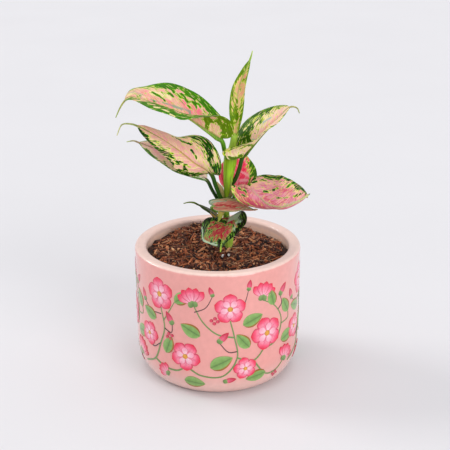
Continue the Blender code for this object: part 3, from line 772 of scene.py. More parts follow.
# %% Scatter tree
def scatter_tree():
    """Geometry Nodes: strew shapes from a collection over a surface."""
    tree, given = node_group("strew over the bed", {
        "Shapes": "Collection", "Per square metre": "Float", "Tilt": "Float", "Smallest": "Float",
        "Largest": "Float", "Lift": "Float", "Seed": "Int", "Finish": "Material"})
    strewn = add(tree, "GeometryNodeDistributePointsOnFaces",
                 {"Mesh": given["Geometry"], "Density": given["Per square metre"], "Seed": given["Seed"]})
    least = add(tree, "ShaderNodeMath", {0: given["Tilt"], 1: -1.0}, operation="MULTIPLY")
    low = add(tree, "ShaderNodeCombineXYZ", {"X": least, "Y": least, "Z": -math.pi})
    high = add(tree, "ShaderNodeCombineXYZ", {"X": given["Tilt"], "Y": given["Tilt"], "Z": math.pi})
    turn = add(tree, "FunctionNodeRandomValue",
               {0: low, 1: high, "Seed": given["Seed"]}, data_type="FLOAT_VECTOR")
    spin = add(tree, "FunctionNodeEulerToRotation", {0: turn})
    size = add(tree, "FunctionNodeRandomValue",
               {2: given["Smallest"], 3: given["Largest"], "Seed": given["Seed"]}, data_type="FLOAT")
    rise = add(tree, "FunctionNodeRandomValue", {2: 0.0, 3: given["Lift"], "Seed": 3}, data_type="FLOAT")
    offset = add(tree, "ShaderNodeCombineXYZ", {"Z": rise})
    lifted = add(tree, "GeometryNodeSetPosition", {"Geometry": strewn, "Offset": offset})
    shapes = add(tree, "GeometryNodeCollectionInfo",
                 {"Collection": given["Shapes"], "Separate Children": True, "Reset Children": True})
    placed = add(tree, "GeometryNodeInstanceOnPoints",
                 {"Points": lifted, "Instance": shapes, "Pick Instance": True,
                  "Rotation": spin, "Scale": size})
    tone = add(tree, "FunctionNodeRandomValue", {2: 0.0, 3: 1.0, "Seed": 5}, data_type="FLOAT")
    toned = add(tree, "GeometryNodeStoreNamedAttribute",
                {"Geometry": placed, "Name": "tone", "Value": tone},
                data_type="FLOAT", domain="INSTANCE")
    real = add(tree, "GeometryNodeRealizeInstances", {"Geometry": toned})
    done = add(tree, "GeometryNodeSetMaterial", {"Geometry": real, "Material": given["Finish"]})
    add(tree, "NodeGroupOutput", {"Geometry": done})
    return tree

# %% [markdown]
# ## Coconut husk
#
# Dry husk is bark-brown outside and fox-red to straw inside, with a grain that runs along each
# splinter. The material mixes those browns by each chip's own tone, adds a fine grain and stays dull:
# husk is a cork-like, open material with no gloss.

# %% Husk material and scattering
def coconut_husk(name, stops):
    """Dull, open husk whose brown follows the tone of each chip."""
    mat, tree, shader = new_material(name)
    place = add(tree, "ShaderNodeTexCoord").outputs["Object"]
    tone = add(tree, "ShaderNodeAttribute", attribute_name="tone")
    grain = add(tree, "ShaderNodeTexNoise", {"Vector": place, "Scale": 1400.0, "Detail": 3.0})
    shift = add(tree, "ShaderNodeMapRange", {0: grain, 1: 0.3, 2: 0.7, 3: -0.12, 4: 0.12})
    mixed = add(tree, "ShaderNodeMath", {0: tone.outputs["Fac"], 1: shift}, operation="ADD")
    colour = add(tree, "ShaderNodeValToRGB", {0: mixed}, stops=stops)
    relief = add(tree, "ShaderNodeBump", {"Strength": 0.5, "Distance": 0.0004, "Height": grain})
    wire(tree, shader, {"Base Color": colour, "Normal": relief, "Roughness": 0.8})
    return mat


husk = coconut_husk("coconut_husk", [(0.0, "#120602"), (0.35, "#4A1E0E"), (0.65, "#82401E"),
                                     (0.9, "#B8683A"), (1.0, "#DCA878")])
straw = coconut_husk("husk_fibre_straw", [(0.0, "#7C4426"), (0.5, "#B87C54"), (1.0, "#E4BE98")])

SPREAD_RADIUS = MOUTH_RADIUS - 3.2
spread_points, spread_faces = [], []
SPREAD_CELLS = 40
steps = np.linspace(-SPREAD_RADIUS, SPREAD_RADIUS, SPREAD_CELLS + 1)
for y in steps:
    for x in steps:
        r = math.hypot(x, y)
        pull = min(1.0, SPREAD_RADIUS / max(r, 1e-6))
        spread_points.append((x * pull, y * pull, float(soil_height(x * pull, y * pull)) + 0.3))
for j in range(SPREAD_CELLS):
    for i in range(SPREAD_CELLS):
        a = j * (SPREAD_CELLS + 1) + i
        corner = [spread_points[v] for v in (a, a + 1, a + SPREAD_CELLS + 2, a + SPREAD_CELLS + 1)]
        if sum(math.hypot(c[0], c[1]) < SPREAD_RADIUS * 0.999 for c in corner) >= 3:
            spread_faces.append((a, a + 1, a + SPREAD_CELLS + 2, a + SPREAD_CELLS + 1))
ground = mesh_object("spread", spread_points, spread_faces)

strew = scatter_tree()
SCATTERS = {
    "soil_chips": {"Shapes": chip_shapes, "Per square metre": 170000.0, "Tilt": 0.6, "Smallest": 0.5,
                   "Largest": 1.15, "Lift": 0.0016, "Seed": 4, "Finish": husk},
    "soil_crumbs": {"Shapes": crumb_shapes, "Per square metre": 230000.0, "Tilt": 1.5, "Smallest": 0.4,
                    "Largest": 1.2, "Lift": 0.0016, "Seed": 8, "Finish": husk},
    "soil_fibres": {"Shapes": fibre_shapes, "Per square metre": 62000.0, "Tilt": 0.25, "Smallest": 0.35,
                    "Largest": 0.9, "Lift": 0.0022, "Seed": 2, "Finish": straw},
}
for name, values in SCATTERS.items():
    pieces = run_tree(name, ground, strew, values)
    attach(pieces, "root")
    count_faces(pieces)
bpy.data.objects.remove(ground, do_unlink=True)
for group in (chip_shapes, crumb_shapes, fibre_shapes):
    for obj in list(group.objects):
        bpy.data.objects.remove(obj, do_unlink=True)

# %% [markdown]
# ## The leaves: shape
#
# An aglaonema leaf is a pointed oval blade on a round petiole, with a thick midrib, two halves that
# fold and roll on their own, and a long thin drip tip. A flat cut-out bent afterwards never looks
# grown. Here each leaf is described the way it grows: a line for the petiole, the midrib and the tip,
# the way its face looks, and for each half its width, its lift and its roll along the leaf. The
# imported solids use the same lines, so the fine leaf lies where the solid leaf lies.

# %% Growth lines of the leaves
def half(width, fold, curl, lobe):
    """One half of a blade: its width in mm, its lift at the base, the middle and the tip, its roll
    out to the margin, both in degrees, and how far its basal lobe reaches back in mm."""
    return {"width": width, "fold": fold, "curl": curl, "lobe": lobe}


# Each leaf's colours: dark, green, lime, cream, pink, red, silver with painted sheen, midrib line and
# underside. Margins: the green margin's share of the left and the right half at five places. Green, red
# and silver: brush strokes, each its strength, its start and end in mm along the midrib and out from it,
# and its width in mm. The silver strokes paint silvery green and also painted highlights, the gloss on
# folds, along midribs and in shiny patches. Tints colour the strand from the cane to the tip. Blush: how
# red the heart is.
LEAVES = {
    "leaf_spear": {
        "petiole": [(10.1, 1.1, 165.0), (10.9, 1.4, 170.0)],
        "midrib": [(11.8, 1.7, 175.5), (12.9, 2.3, 187.5), (13.7, 3.0, 200.5), (14.8, 3.7, 209.5),
                   (17.8, 4.3, 219.0), (22.8, 5.0, 231.0)],
        "tip": [(24.2, 5.0, 236.3)],
        "face": [(-0.2, -1.0, 0.0), (-0.2, -1.0, 0.1)],
        "left": half(5.4, (42, -9, -12), (37, 36, 110), 0),
        "right": half(5.1, (9, -4, 12), (19, 16, 25), 0),
        "outline": (0.65, 0.85), "stalk": 2.5, "lobe_lean": 0.0, "ripple": (0.15, 30.0, 0.0), "rib_end": 0.0,
        "blush": 0.42, "ragged": 0.36, "gaps": 0.25, "specks": 0.9,
        "margins": ((0.35, 0.35, 0.42, 0.6, 1.0), (0.4, 0.3, 0.25, 0.3, 1.0)),
        "colours": ("#5C8708", "#86A40C", "#C5DC52", "#E5D286", "#F0C090", "#E89C80", "#B8CC88", "#C0B060",
                    "#92A42C"),
        "tints": ("#8FAF3E", "#9CBF48", "#A3B850", "#9CC04C", "#B4C86A"),
        "green": [(0.8, 6.7, -3.4, 15.9, -0.5, 2.5), (0.55, 17.8, -1.4, 26.5, -0.5, 1.2),
            (0.6, 33.4, 1.5, 36.8, 0.6, 1.0), (0.6, 40.0, 1.3, 41.9, 1.2, 1.2),
            (0.7, 43.7, -1.8, 53.9, -0.9, 1.2), (0.5, 19.8, 2.2, 27.2, 3.1, 0.7),
            (-0.4, 33.4, 3.8, 38.8, 3.0, 0.7), (0.45, 26.5, -0.5, 11.2, 2.0, 2.5),
            (-0.3, 44.3, -2.0, 27.2, 2.3, 2.2)],
        "red": [(0.25, 34.8, -0.2, 41.9, -0.2, 1.3), (0.2, 44.3, 1.1, 46.0, 0.3, 1.1),
            (0.4, 44.3, 0.5, 30.7, 4.1, 1.8)],
    },
    "leaf_upper_left": {
        "petiole": [(8.9, 0.5, 156.0), (7.2, -1.6, 161.0), (5.0, -4.6, 168.0)],
        "midrib": [(3.0, -6.5, 175.5), (-8.5, -10.0, 185.5), (-21.0, -12.0, 194.5), (-35.0, -13.0, 201.0),
                   (-49.5, -13.0, 206.5), (-59.5, -12.8, 208.5), (-63.2, -12.5, 205.5)],
        "tip": [(-66.4, -13.2, 200.8), (-69.4, -14.0, 194.3)],
        "face": [(0.3, 0.1, 1.0), (-0.3, -0.1, 1.0)],
        "left": half(19.1, (117, 26, 4), (-2, -50, 4), 11.5),
        "right": half(20.6, (60, 52, 29), (4, -8, -38), 6),
        "outline": (0.6, 0.55), "stalk": 1.6, "lobe_lean": 0.0, "ripple": (0.5, 24.0, 0.6), "rib_end": 0.85,
        "blush": 0.5, "ragged": 0.3, "gaps": 0.5, "specks": 0.75,
        "margins": ((0.45, 0.5, 0.85, 0.85, 0.5), (0.46, 0.46, 0.44, 0.24, 0.1)),
        "colours": ("#367302", "#53A006", "#AACC1F", "#F0D8A8", "#E8AB9F", "#F4798E", "#7FA08C", "#D49A80",
                    "#A89810"),
        "tints": ("#4F8A1C", "#5E9A22", "#9AA850", "#B0AC60", "#8EA24A"),
        "green": [(1.2, 59.1, 8.5, 48.9, 4.6, 0.9), (0.5, 53.3, 10.1, 48.0, 9.8, 0.5),
            (0.5, 51.6, 7.9, 48.9, 7.2, 0.6), (1.2, 39.6, 15.3, 36.8, 12.4, 1.1),
            (1.2, 33.1, 15.7, 28.5, 12.5, 1.2), (1.2, 29.4, 11.1, 26.7, 8.5, 1.1),
            (0.4, 36.8, 10.8, 30.4, 10.4, 0.7), (1.2, 24.1, 14.9, 20.7, 13.0, 1.1),
            (0.35, 42.4, 13.2, 39.6, 11.6, 0.6), (-0.75, 43.4, 16.6, 38.7, 16.0, 1.1),
            (-0.6, 34.0, 13.7, 29.4, 13.3, 0.6), (-0.5, 31.3, 14.9, 27.6, 15.0, 0.5),
            (-0.6, 25.0, 15.1, 20.7, 10.5, 0.5), (-0.5, 55.0, 11.4, 51.6, 12.5, 0.6),
            (-0.6, 59.9, 9.1, 55.0, 10.6, 0.7), (-0.45, 28.5, 12.5, 25.0, 9.8, 0.6),
            (0.9, 68.3, -5.4, 67.0, -6.8, 0.7), (0.7, 55.9, 1.7, 52.4, -5.7, 0.6),
            (-2.2, 69.5, -11.3, 62.2, -4.8, 1.2), (-2.2, 64.4, -0.7, 58.3, 2.4, 1.0),
            (-2.2, 55.0, -13.0, 51.6, -12.3, 1.2), (-2.2, 48.9, -13.8, 46.1, -15.2, 1.4),
            (-2.2, 40.6, -10.0, 37.8, -11.5, 1.2), (-2.2, 35.0, -12.1, 30.4, -14.3, 0.8),
            (-2.2, 59.9, -10.8, 55.9, -9.7, 0.8), (-2.2, 44.3, -17.8, 41.5, -18.3, 0.7),
            (0.7, 39.6, 18.9, 37.8, 17.2, 1.2), (0.6, 47.1, 11.4, 44.3, 9.9, 0.9),
            (0.6, 34.0, 8.2, 31.3, 7.2, 0.9), (0.5, 58.3, -11.8, 31.3, -13.8, 1.6),
            (0.5, 56.7, 14.3, 37.8, 19.7, 1.7), (0.5, 37.8, 19.7, 18.3, 15.2, 1.9),
            (1.2, 23.2, -10.8, 14.5, -1.9, 1.2), (-1, 20.7, -11.5, 19.1, -11.6, 0.9),
            (1, 59.1, -6.6, 46.1, -11.4, 1.1), (1.1, 46.1, -11.4, 31.3, -12.5, 1.4),
            (0.9, 51.6, 17.9, 35.0, 19.6, 1.6), (0.9, 35.0, 19.6, 18.3, 15.2, 1.7),
            (0.15, 73.4, 3.1, 65.7, 1.3, 2.2), (0.9, 40.6, -17.0, 31.3, -17.8, 0.9),
            (0.6, 57.5, -15.0, 40.6, -17.0, 0.9), (1.3, 21.6, -8.6, 14.5, 0.0, 1.1),
            (1.2, 18.3, -5.5, 16.0, -8.7, 0.7), (1, 16.0, -8.7, 11.0, -9.0, 0.9),
            (1.3, 11.0, -9.4, 5.3, -4.9, 1.3), (1.2, 9.7, -10.1, 2.2, -4.4, 1.6),
            (1.2, 1.6, -2.3, 1.1, -3.3, 1.4), (0.8, 14.5, 0.0, 1.1, 0.0, 0.9),
            (-1.2, 13.7, -3.7, 8.0, -3.2, 1.7), (-1.2, 24.1, -3.1, 19.1, -1.4, 1.7),
            (-1.2, 20.7, -9.8, 19.1, -10.6, 0.9), (-0.9, 15.2, -11.0, 12.3, -9.1, 0.5),
            (-1.1, 4.4, -5.0, 1.4, -3.0, 0.5), (-0.9, 42.4, 15.3, 38.7, 15.3, 1.1),
            (-0.8, 35.9, 13.8, 28.5, 13.9, 0.7), (-0.9, 31.3, 9.7, 24.1, 8.2, 1.3),
            (-0.8, 25.9, 13.5, 19.9, 10.4, 0.4), (0.7, 41.5, 17.2, 29.4, 17.0, 0.7),
            (0.6, 29.4, 17.0, 19.1, 14.6, 1.2), (0.9, 66.4, -11.4, 54.2, -11.3, 0.6),
            (1, 54.2, -11.3, 43.4, -15.9, 0.7), (1, 43.4, -15.9, 34.0, -16.8, 0.9),
            (1.3, 67.7, -6.1, 64.4, -6.9, 0.6), (1.3, 59.1, 2.4, 55.9, 1.7, 0.6),
            (1.2, 55.9, 0.9, 52.4, -5.7, 0.7), (1.1, 51.6, -10.3, 46.1, -13.4, 0.9),
            (1, 62.9, -10.1, 58.3, -11.8, 0.6), (0.5, 71.6, -3.9, 62.2, 6.6, 1.0)],
        "red": [(0.45, 37.8, 9.1, 30.4, 5.4, 1.6), (0.35, 29.4, 10.3, 24.1, 8.2, 1.3),
            (0.3, 42.4, 11.6, 38.7, 10.0, 1.0), (0.12, 69.5, 3.9, 55.9, 4.2, 2.9),
            (-0.15, 48.9, 4.6, 38.7, 4.7, 2.2), (-0.3, 72.5, 1.8, 59.1, 4.8, 2.9),
            (-0.35, 59.9, 7.7, 47.1, 8.1, 2.2), (0.3, 34.0, 9.0, 25.0, 7.5, 1.8),
            (0.35, 52.4, 6.1, 43.4, 3.8, 1.7), (-0.25, 59.9, 7.7, 46.1, 8.2, 1.8),
            (-0.1, 73.8, 4.0, 64.4, 4.9, 2.9), (-0.2, 16.0, -3.9, 6.3, -2.8, 2.9),
            (-0.9, 71.6, -5.5, 61.5, -11.0, 1.4), (-0.9, 61.5, -11.0, 51.6, -14.7, 1.6),
            (-0.9, 51.6, -14.7, 40.6, -17.9, 1.6), (0.35, 71.1, -0.9, 61.5, 6.7, 2.2)],
        # Painted highlights: these silver strokes draw the gloss along the midrib and on the fold's crest
        "silver_and_sheen": [(0.45, 74.2, 5.5, 65.1, 2.7, 2.9), (0.8, 58.3, 1.6, 47.1, 2.8, 0.6),
            (0.8, 47.1, 2.8, 30.4, 4.5, 0.8), (0.9, 30.4, 4.5, 20.7, -16.2, 0.8),
            (0.7, 42.4, 2.8, 35.9, 2.8, 0.7)],
    },
    "leaf_mid_left": {
        "petiole": [(7.0, 0.0, 123.5), (2.6, -2.8, 131.3), (-1.2, -5.4, 141.9)],
        "midrib": [(-4.5, -7.0, 151.5), (-16.0, -13.0, 161.5), (-27.0, -18.0, 172.5), (-40.5, -18.5, 182.0),
                   (-55.0, -16.0, 189.0)],
        "tip": [(-59.0, -15.8, 190.2), (-65.0, -16.6, 190.0), (-68.7, -17.5, 182.6)],
        "face": [(-0.8, -0.5, 0.3), (0.2, -0.3, 1.0)],
        "left": half(12.0, (5, 10, -10), (-25, -25, -35), 3),
        "right": half(19.5, (30, -10, 0), (-10, -50, -30), 5),
        "outline": (0.45, 0.69), "stalk": 1.5, "lobe_lean": 0.0, "ripple": (0.4, 22.0, 2.0), "rib_end": 0.6,
        "blush": 0.42, "ragged": 0.34, "gaps": 1.0, "specks": 0.4,
        "margins": ((0.46, 0.48, 0.46, 0.38, 0.5), (0.6, 0.52, 0.18, 0.0, 0.0)),
        "colours": ("#143F00", "#409700", "#CAE828", "#F6DEA6", "#EFAEAB", "#E18F94", "#93AC8C", "#BCA03C",
                    "#C9B08A"),
        "tints": ("#1C4404", "#265806", "#A0922C", "#8E9A4A", "#C9C890"),
        "green": [(1.3, 39.2, 10.7, 32.8, 11.5, 0.8), (1.3, 32.8, 10.0, 25.8, 9.5, 0.9),
            (-0.7, 30.5, 13.7, 26.5, 15.1, 0.6), (0.6, 25.0, 16.9, 16.9, 13.8, 1.2),
            (0.9, 16.2, 13.1, 12.3, 10.9, 1.2), (0.5, 12.3, 9.7, 8.8, 7.5, 0.9),
            (-0.55, 14.2, 15.8, 8.3, 11.2, 0.7), (-0.3, 18.3, 14.6, 14.8, 13.4, 0.6),
            (0.7, 14.2, 17.8, 9.9, 15.4, 0.7), (0.5, 8.3, 11.2, 4.9, 9.2, 1.0),
            (1.3, 24.2, 6.2, 23.5, 6.1, 0.8), (1.3, 22.7, 5.3, 17.6, 3.4, 0.6),
            (1.3, 64.9, -1.2, 52.2, -7.5, 0.9), (1.3, 52.2, -7.5, 43.8, -9.2, 0.9),
            (0.8, 43.0, -9.6, 38.4, -8.2, 1.2), (0.5, 38.4, -10.8, 32.1, -11.5, 1.0),
            (0.8, 30.5, -8.0, 25.0, -5.3, 0.5), (-0.5, 36.8, -9.4, 30.5, -9.6, 0.6),
            (-0.9, 28.9, -10.9, 21.2, -8.0, 1.3), (0.9, 21.2, -6.7, 17.6, -8.6, 0.8),
            (0.5, 16.9, -9.9, 3.8, -5.9, 0.7), (-0.6, 16.9, -6.4, 8.3, -3.3, 1.1),
            (-0.35, 55.2, -5.2, 43.0, -7.9, 0.6), (0.3, 24.2, -4.8, 16.9, -4.1, 0.4),
            (0.25, 14.8, -4.9, 13.5, -5.2, 0.6), (-0.9, 14.2, 16.3, 9.9, 13.4, 1.2),
            (1.2, 18.3, 16.3, 11.1, 10.6, 1.1), (1.2, 21.2, -7.1, 16.2, -9.1, 1.1),
            (0.3, 16.9, 18.5, 9.9, 13.4, 1.2), (0.25, 19.7, 19.1, 14.8, 15.0, 1.2)],
        "red": [(-0.22, 16.9, 5.0, 5.4, 2.9, 2.5), (-0.2, 53.4, -5.0, 37.6, -5.0, 1.3),
            (0.12, 55.8, 1.4, 41.5, 2.3, 2.2), (0.14, 36.8, -2.1, 20.5, 0.0, 1.2),
            (-0.35, 4.5, 2.7, 4.1, -1.9, 1.3), (-0.3, 16.9, 18.5, 10.5, 12.6, 1.1)],
    },
    "leaf_low_left": {
        "petiole": [(7.0, 0.2, 119.0), (0.6, 2.4, 128.3), (-4.0, 3.6, 136.1)],
        "midrib": [(-7.6, 4.0, 143.0), (-18.2, 1.5, 152.0), (-29.8, 0.0, 160.1), (-42.4, -0.5, 167.2),
                   (-55.5, 0.5, 172.2)],
        "tip": [(-59.0, 0.5, 173.4), (-63.7, 0.0, 172.8)],
        "face": [(0.0, -0.1, 1.0), (0.0, -0.5, 0.9)],
        "left": half(13, (4, 4, 5), (0, -15, -15), 0.2),
        "right": half(15, (20, 20, 10), (-20, -20, -20), 3),
        "outline": (0.6, 0.86), "stalk": 1.3, "lobe_lean": 0.0, "ripple": (0.3, 20.0, 1.0), "rib_end": 0.5,
        "blush": 0.5, "ragged": 0.3, "gaps": 0.5, "specks": 0.3,
        "margins": ((0.2, 0.2, 0.2, 0.22, 0.4), (0.2, 0.15, 0.15, 0.2, 0.3)),
        "colours": ("#4A7A34", "#7CB058", "#D2E284", "#F6E8D6", "#F4D6C6", "#F2B6BE", "#D8EAD4", "#C9A080",
                    "#D8D8B0"),
        "tints": ("#183C04", "#205008", "#C09A80", "#B9A080", "#A9B878"),
        "green": [(0.8, 49.8, -3.7, 43.5, -7.7, 0.6), (-0.5, 45.2, -5.3, 36.0, -9.4, 0.7),
            (0.8, 33.3, -11.9, 23.7, -13.0, 0.9), (0.7, 21.7, -13.0, 1.4, -1.2, 0.6),
            (0.4, 42.3, -6.8, 41.1, -8.3, 0.6), (0.4, 36.0, -8.4, 34.6, -9.7, 0.6),
            (-0.6, 31.9, -11.2, 27.1, -12.3, 0.7), (0.8, 11.2, -10.7, 0.8, -2.7, 1.3),
            (0.5, 15.2, -12.1, 7.6, -9.2, 0.9)],
        "red": [(0.45, 47.9, 0.3, 37.3, -6.1, 1.4)],
    },
    "leaf_upper_right": {
        "petiole": [(7.4, 0.1, 137.5), (12.6, 0.2, 145.0), (15.6, -0.4, 153.5)],
        "midrib": [(18.0, -1.5, 162.5), (25.5, -4.0, 172.5), (33.0, -6.0, 182.0), (41.0, -8.5, 191.5),
                   (49.5, -10.5, 200.5)],
        "tip": [(52.2, -11.2, 201.2), (54.8, -12.0, 200.2), (56.3, -12.5, 197.0)],
        "face": [(-0.4, -0.5, 0.7), (0.2, -0.3, 0.9)],
        "left": half(19.4, (31, 12, -1), (-15, -12, -17), 3),
        "right": half(12.3, (83, 47, 12), (13, -14, -5), 7.8),
        "outline": (0.4, 0.61), "stalk": 1.5, "lobe_lean": 1.03, "ripple": (0.3, 20.0, 0.0), "rib_end": 0.9,
        "blush": 0.4, "ragged": 0.36, "gaps": 0.65, "specks": 0.7,
        "margins": ((0.85, 0.7, 0.5, 0.32, 0.25), (0.04, 0.1, 0.1, 0.08, 0.2)),
        "colours": ("#2E5800", "#64A406", "#E4EA34", "#FCEABA", "#FAC6BC", "#F0A0A0", "#A4C0B8", "#DDB890",
                    "#98AC30"),
        "tints": ("#1E3C06", "#2C520A", "#6E8A28", "#B4AC70", "#8E9A50"),
        "green": [(0.8, 12.4, 11.6, 10.9, -16.3, 1.6), (0.8, 12.4, -17.7, 20.3, -17.3, 1.0),
            (0.7, 22.1, -17.7, 30.0, -15.9, 0.7), (0.9, 8.0, -10.6, 11.9, -5.8, 1.4),
            (0.9, 14.0, -11.3, 19.7, -12.4, 0.9), (0.9, 22.1, -12.4, 26.4, -12.0, 0.6),
            (0.7, 28.8, -13.6, 34.1, -11.1, 0.7), (-0.75, 10.9, -13.3, 15.1, -13.5, 0.8),
            (-0.6, 17.4, -14.4, 24.5, -14.2, 0.9), (-0.5, 25.8, -14.7, 31.2, -13.6, 0.5),
            (0.9, 18.0, -7.0, 18.0, -5.3, 0.5), (-0.9, 14.5, 12.0, 13.5, -5.1, 0.6),
            (0.95, 12.4, 9.7, 18.5, 11.2, 0.5), (-0.8, 15.7, -5.2, 22.7, -11.6, 1.2),
            (0.35, 36.3, -8.7, 37.9, -5.2, 0.6), (0.4, 42.3, -7.5, 44.0, -3.7, 0.6),
            (0.25, 5.9, 4.2, 13.5, 4.3, 1.4), (0.4, 8.9, 4.8, 13.5, -9.1, 2.2),
            (0.4, 13.5, -9.1, 27.6, -9.0, 1.6), (1.2, 2.1, 6.6, 1.0, 4.9, 0.6), (1.2, 1.0, 4.9, 0.5, 2.8, 0.7),
            (-0.7, 2.9, 6.2, 7.2, 3.6, 1.2), (0.7, 2.6, 6.7, 0.6, 2.9, 0.6), (1.1, 0.7, 3.6, 2.3, 2.2, 0.9)],
        "red": [(-0.3, 22.1, -6.1, 31.7, -9.1, 1.2), (0.28, 23.9, -1.8, 42.7, -1.0, 1.2),
            (0.4, 13.5, -5.9, 19.1, -9.4, 1.0), (-0.2, 2.9, 6.2, 8.9, 4.8, 2.9),
            (0.1, 2.9, 6.2, 8.9, 4.8, 2.2)],
        # Painted highlights: these silver strokes draw silver-blue gloss patches
        "silver_and_sheen": [(0.9, 27.6, -6.7, 34.1, -5.2, 0.9), (0.8, 14.0, -3.4, 27.0, 11.8, 0.6),
            (0.5, 25.8, -4.3, 28.2, -7.4, 0.6)],
    },
    "leaf_back": {
        "petiole": [(7.0, 0.2, 121.0), (10.4, 1.8, 127.5)],
        "midrib": [(13.0, 3.0, 134.5), (14.5, 6.5, 142.0), (15.5, 11.5, 149.0), (16.0, 17.0, 155.5),
                   (15.5, 23.0, 161.0)],
        "tip": [(15.4, 25.5, 162.6)],
        "face": [(0.2, -0.9, 0.4), (0.2, -0.9, 0.4)],
        "left": half(15.0, (20, 10, 10), (0, -20, -20), 2),
        "right": half(14.0, (10, 10, 0), (-10, -20, -25), 4),
        "outline": (0.44, 0.85), "stalk": 1.3, "lobe_lean": 0.0, "ripple": (0.3, 16.0, 0.0), "rib_end": 0.9,
        "blush": 0.78, "ragged": 0.3, "gaps": 0.4, "specks": 0.0,
        "margins": ((0.02, 0.02, 0.02, 0.08, 0.3), (0.3, 0.36, 0.4, 0.4, 0.5)),
        "colours": ("#35630A", "#6AA81A", "#CADE48", "#F2A890", "#F89EAC", "#EB3459", "#9FB59A", "#E88A90",
                    "#D86A70"),
        "tints": ("#4F8A1C", "#5E8A2C", "#D97A80", "#C99080", "#8FA050"),
        "green": [(0.6, 22.5, 7.1, 12.1, 12.5, 1.3), (-0.6, 27.2, 5.9, 24.0, 6.5, 0.6),
            (-0.45, 20.1, 8.0, 16.1, 9.9, 0.5), (0.4, 20.5, 5.6, 15.3, 6.0, 0.4),
            (-1.5, 16.9, -13.8, 7.0, -12.9, 2.2)],
        "red": [(-0.45, 14.9, 1.9, 12.9, 7.9, 0.8), (-0.4, 8.7, 1.9, 9.8, 6.7, 0.9),
            (-0.3, 25.8, 2.6, 22.1, 4.8, 0.9), (0.3, 16.5, 3.0, 20.5, 5.2, 0.9),
            (0.3, 20.9, -2.8, 23.6, -1.9, 0.9)],
    },
    "leaf_front_right": {
        "petiole": [(7.1, 0.0, 130.0), (11.5, -3.0, 137.0), (16.5, -6.5, 142.0)],
        "midrib": [(22.0, -9.5, 142.0), (28.5, -15.0, 138.0), (35.5, -19.0, 133.5), (45.0, -22.0, 132.5),
                   (54.5, -21.5, 135.5), (63.0, -18.5, 139.5)],
        "tip": [(64.5, -17.5, 140.2)],
        "face": [(0.0, -0.5, 0.9), (-0.4, -0.8, 0.4)],
        "left": half(21.8, (7, 21, -5), (-3, -5, -25), 4.7),
        "right": half(14, (20, -68, -75), (-3, -115, -32), 14.3),
        "outline": (0.61, 0.61), "stalk": 1.4, "lobe_lean": 0.27, "ripple": (0.3, 24.0, 0.0), "rib_end": 0.95,
        "blush": 0.55, "ragged": 0.4, "gaps": 0.8, "specks": 0.3,
        "margins": ((0.2, 0.2, 0.14, 0.28, 0.52), (0.08, 0.06, 0.04, 0.08, 0.3)),
        "colours": ("#204E16", "#60AB2B", "#DCEC58", "#F2B59F", "#DF93A4", "#CC5469", "#B8C49C", "#D0AE92",
                    "#C28A78"),
        "tints": ("#4A7A20", "#D8948A", "#BDB078", "#BFC684", "#3F6A30"),
        "green": [(1.3, 19.1, -10.3, 24.4, -12.3, 0.7), (1.3, 12.0, -5.0, 16.8, -9.1, 0.7),
            (1.3, 23.8, -5.9, 27.9, -5.9, 0.6), (1.3, 29.6, -5.8, 33.0, -5.5, 0.6),
            (1.2, 15.7, -17.9, 23.2, -20.4, 0.6), (-0.5, 25.0, -18.8, 29.1, -18.4, 0.6),
            (0.5, 36.2, -17.4, 42.2, -9.7, 1.2), (-0.4, 36.7, -15.7, 39.6, -11.4, 0.6),
            (0.6, 37.7, -4.8, 43.4, -3.9, 0.6), (0.6, 45.1, -7.1, 48.2, -2.0, 1.2),
            (-0.5, 44.1, -3.6, 46.2, -0.7, 0.6), (0.5, 0.0, -0.3, 2.5, -6.8, 1.2),
            (-0.5, 0.9, -3.6, 9.1, -13.5, 0.6), (0.7, 7.3, -10.3, 9.6, -12.8, 0.5),
            (0.3, 31.9, -0.9, 34.1, -0.9, 0.5), (0.5, 7.8, 6.5, 7.8, 5.8, 0.6), (0.3, 9.1, 6.2, 9.6, 6.4, 0.4),
            (1.2, 2.3, -5.1, 5.4, -8.3, 0.6), (-1, 5.0, -10.6, 9.1, -14.3, 0.7),
            (1.1, 41.4, -10.3, 43.4, -7.9, 0.9), (-0.9, 44.1, -6.4, 46.0, -3.1, 0.9),
            (1.2, 40.1, -4.3, 45.1, -3.6, 0.9), (0.9, 5.0, 5.4, 5.0, 4.6, 0.6), (0.8, 7.3, 6.6, 7.8, 6.1, 0.6),
            (0.5, 3.4, 6.1, 9.1, 10.3, 0.4), (1.2, 2.3, -7.6, 6.1, -12.4, 0.6),
            (1.2, 6.1, -12.4, 13.0, -18.1, 0.6), (1.2, 13.0, -18.1, 29.6, -20.8, 0.6),
            (1.2, 29.6, -20.8, 41.8, -14.1, 0.6), (1.2, 41.8, -14.1, 48.4, -2.5, 0.6),
            (1, 48.4, -2.5, 45.4, 1.1, 0.6), (0.12, 34.6, -14.4, 44.8, -2.4, 1.9),
            (-0.5, 5.4, 7.0, 9.6, 9.1, 1.2)],
        "red": [(-0.4, 41.4, -10.8, 42.6, 0.0, 1.4), (-0.28, 4.7, -4.1, 12.5, -6.7, 1.2),
            (-0.3, 11.0, -12.5, 32.5, -18.1, 1.2), (0.25, 12.0, -3.3, 24.4, -1.0, 1.6),
            (0.22, 20.9, -13.8, 37.7, -9.2, 1.2), (0.35, 5.4, 6.4, 10.5, 8.2, 2.6),
            (0.5, 13.6, 11.5, 22.0, 4.4, 0.6), (0.4, 22.0, 4.4, 38.2, 3.0, 0.5),
            (0.35, 4.0, 5.4, 11.5, 9.3, 2.2), (0.35, 8.2, 8.2, 15.7, 4.1, 2.2),
            (-0.45, 0.2, -1.6, 9.6, -12.3, 1.9), (-0.4, 36.7, -14.1, 44.8, -2.8, 1.7),
            (0.12, 5.7, 6.9, 10.5, 7.9, 2.2)],
        "silver_and_sheen": [(0.75, 30.8, -1.0, 39.2, -0.8, 0.7)],
    },
    "leaf_low_centre": {
        "petiole": [(7.0, 0.0, 118.5), (1.5, -3.5, 121.5), (-2.8, -7.6, 124.6), (-4.3, -10.0, 127.4)],
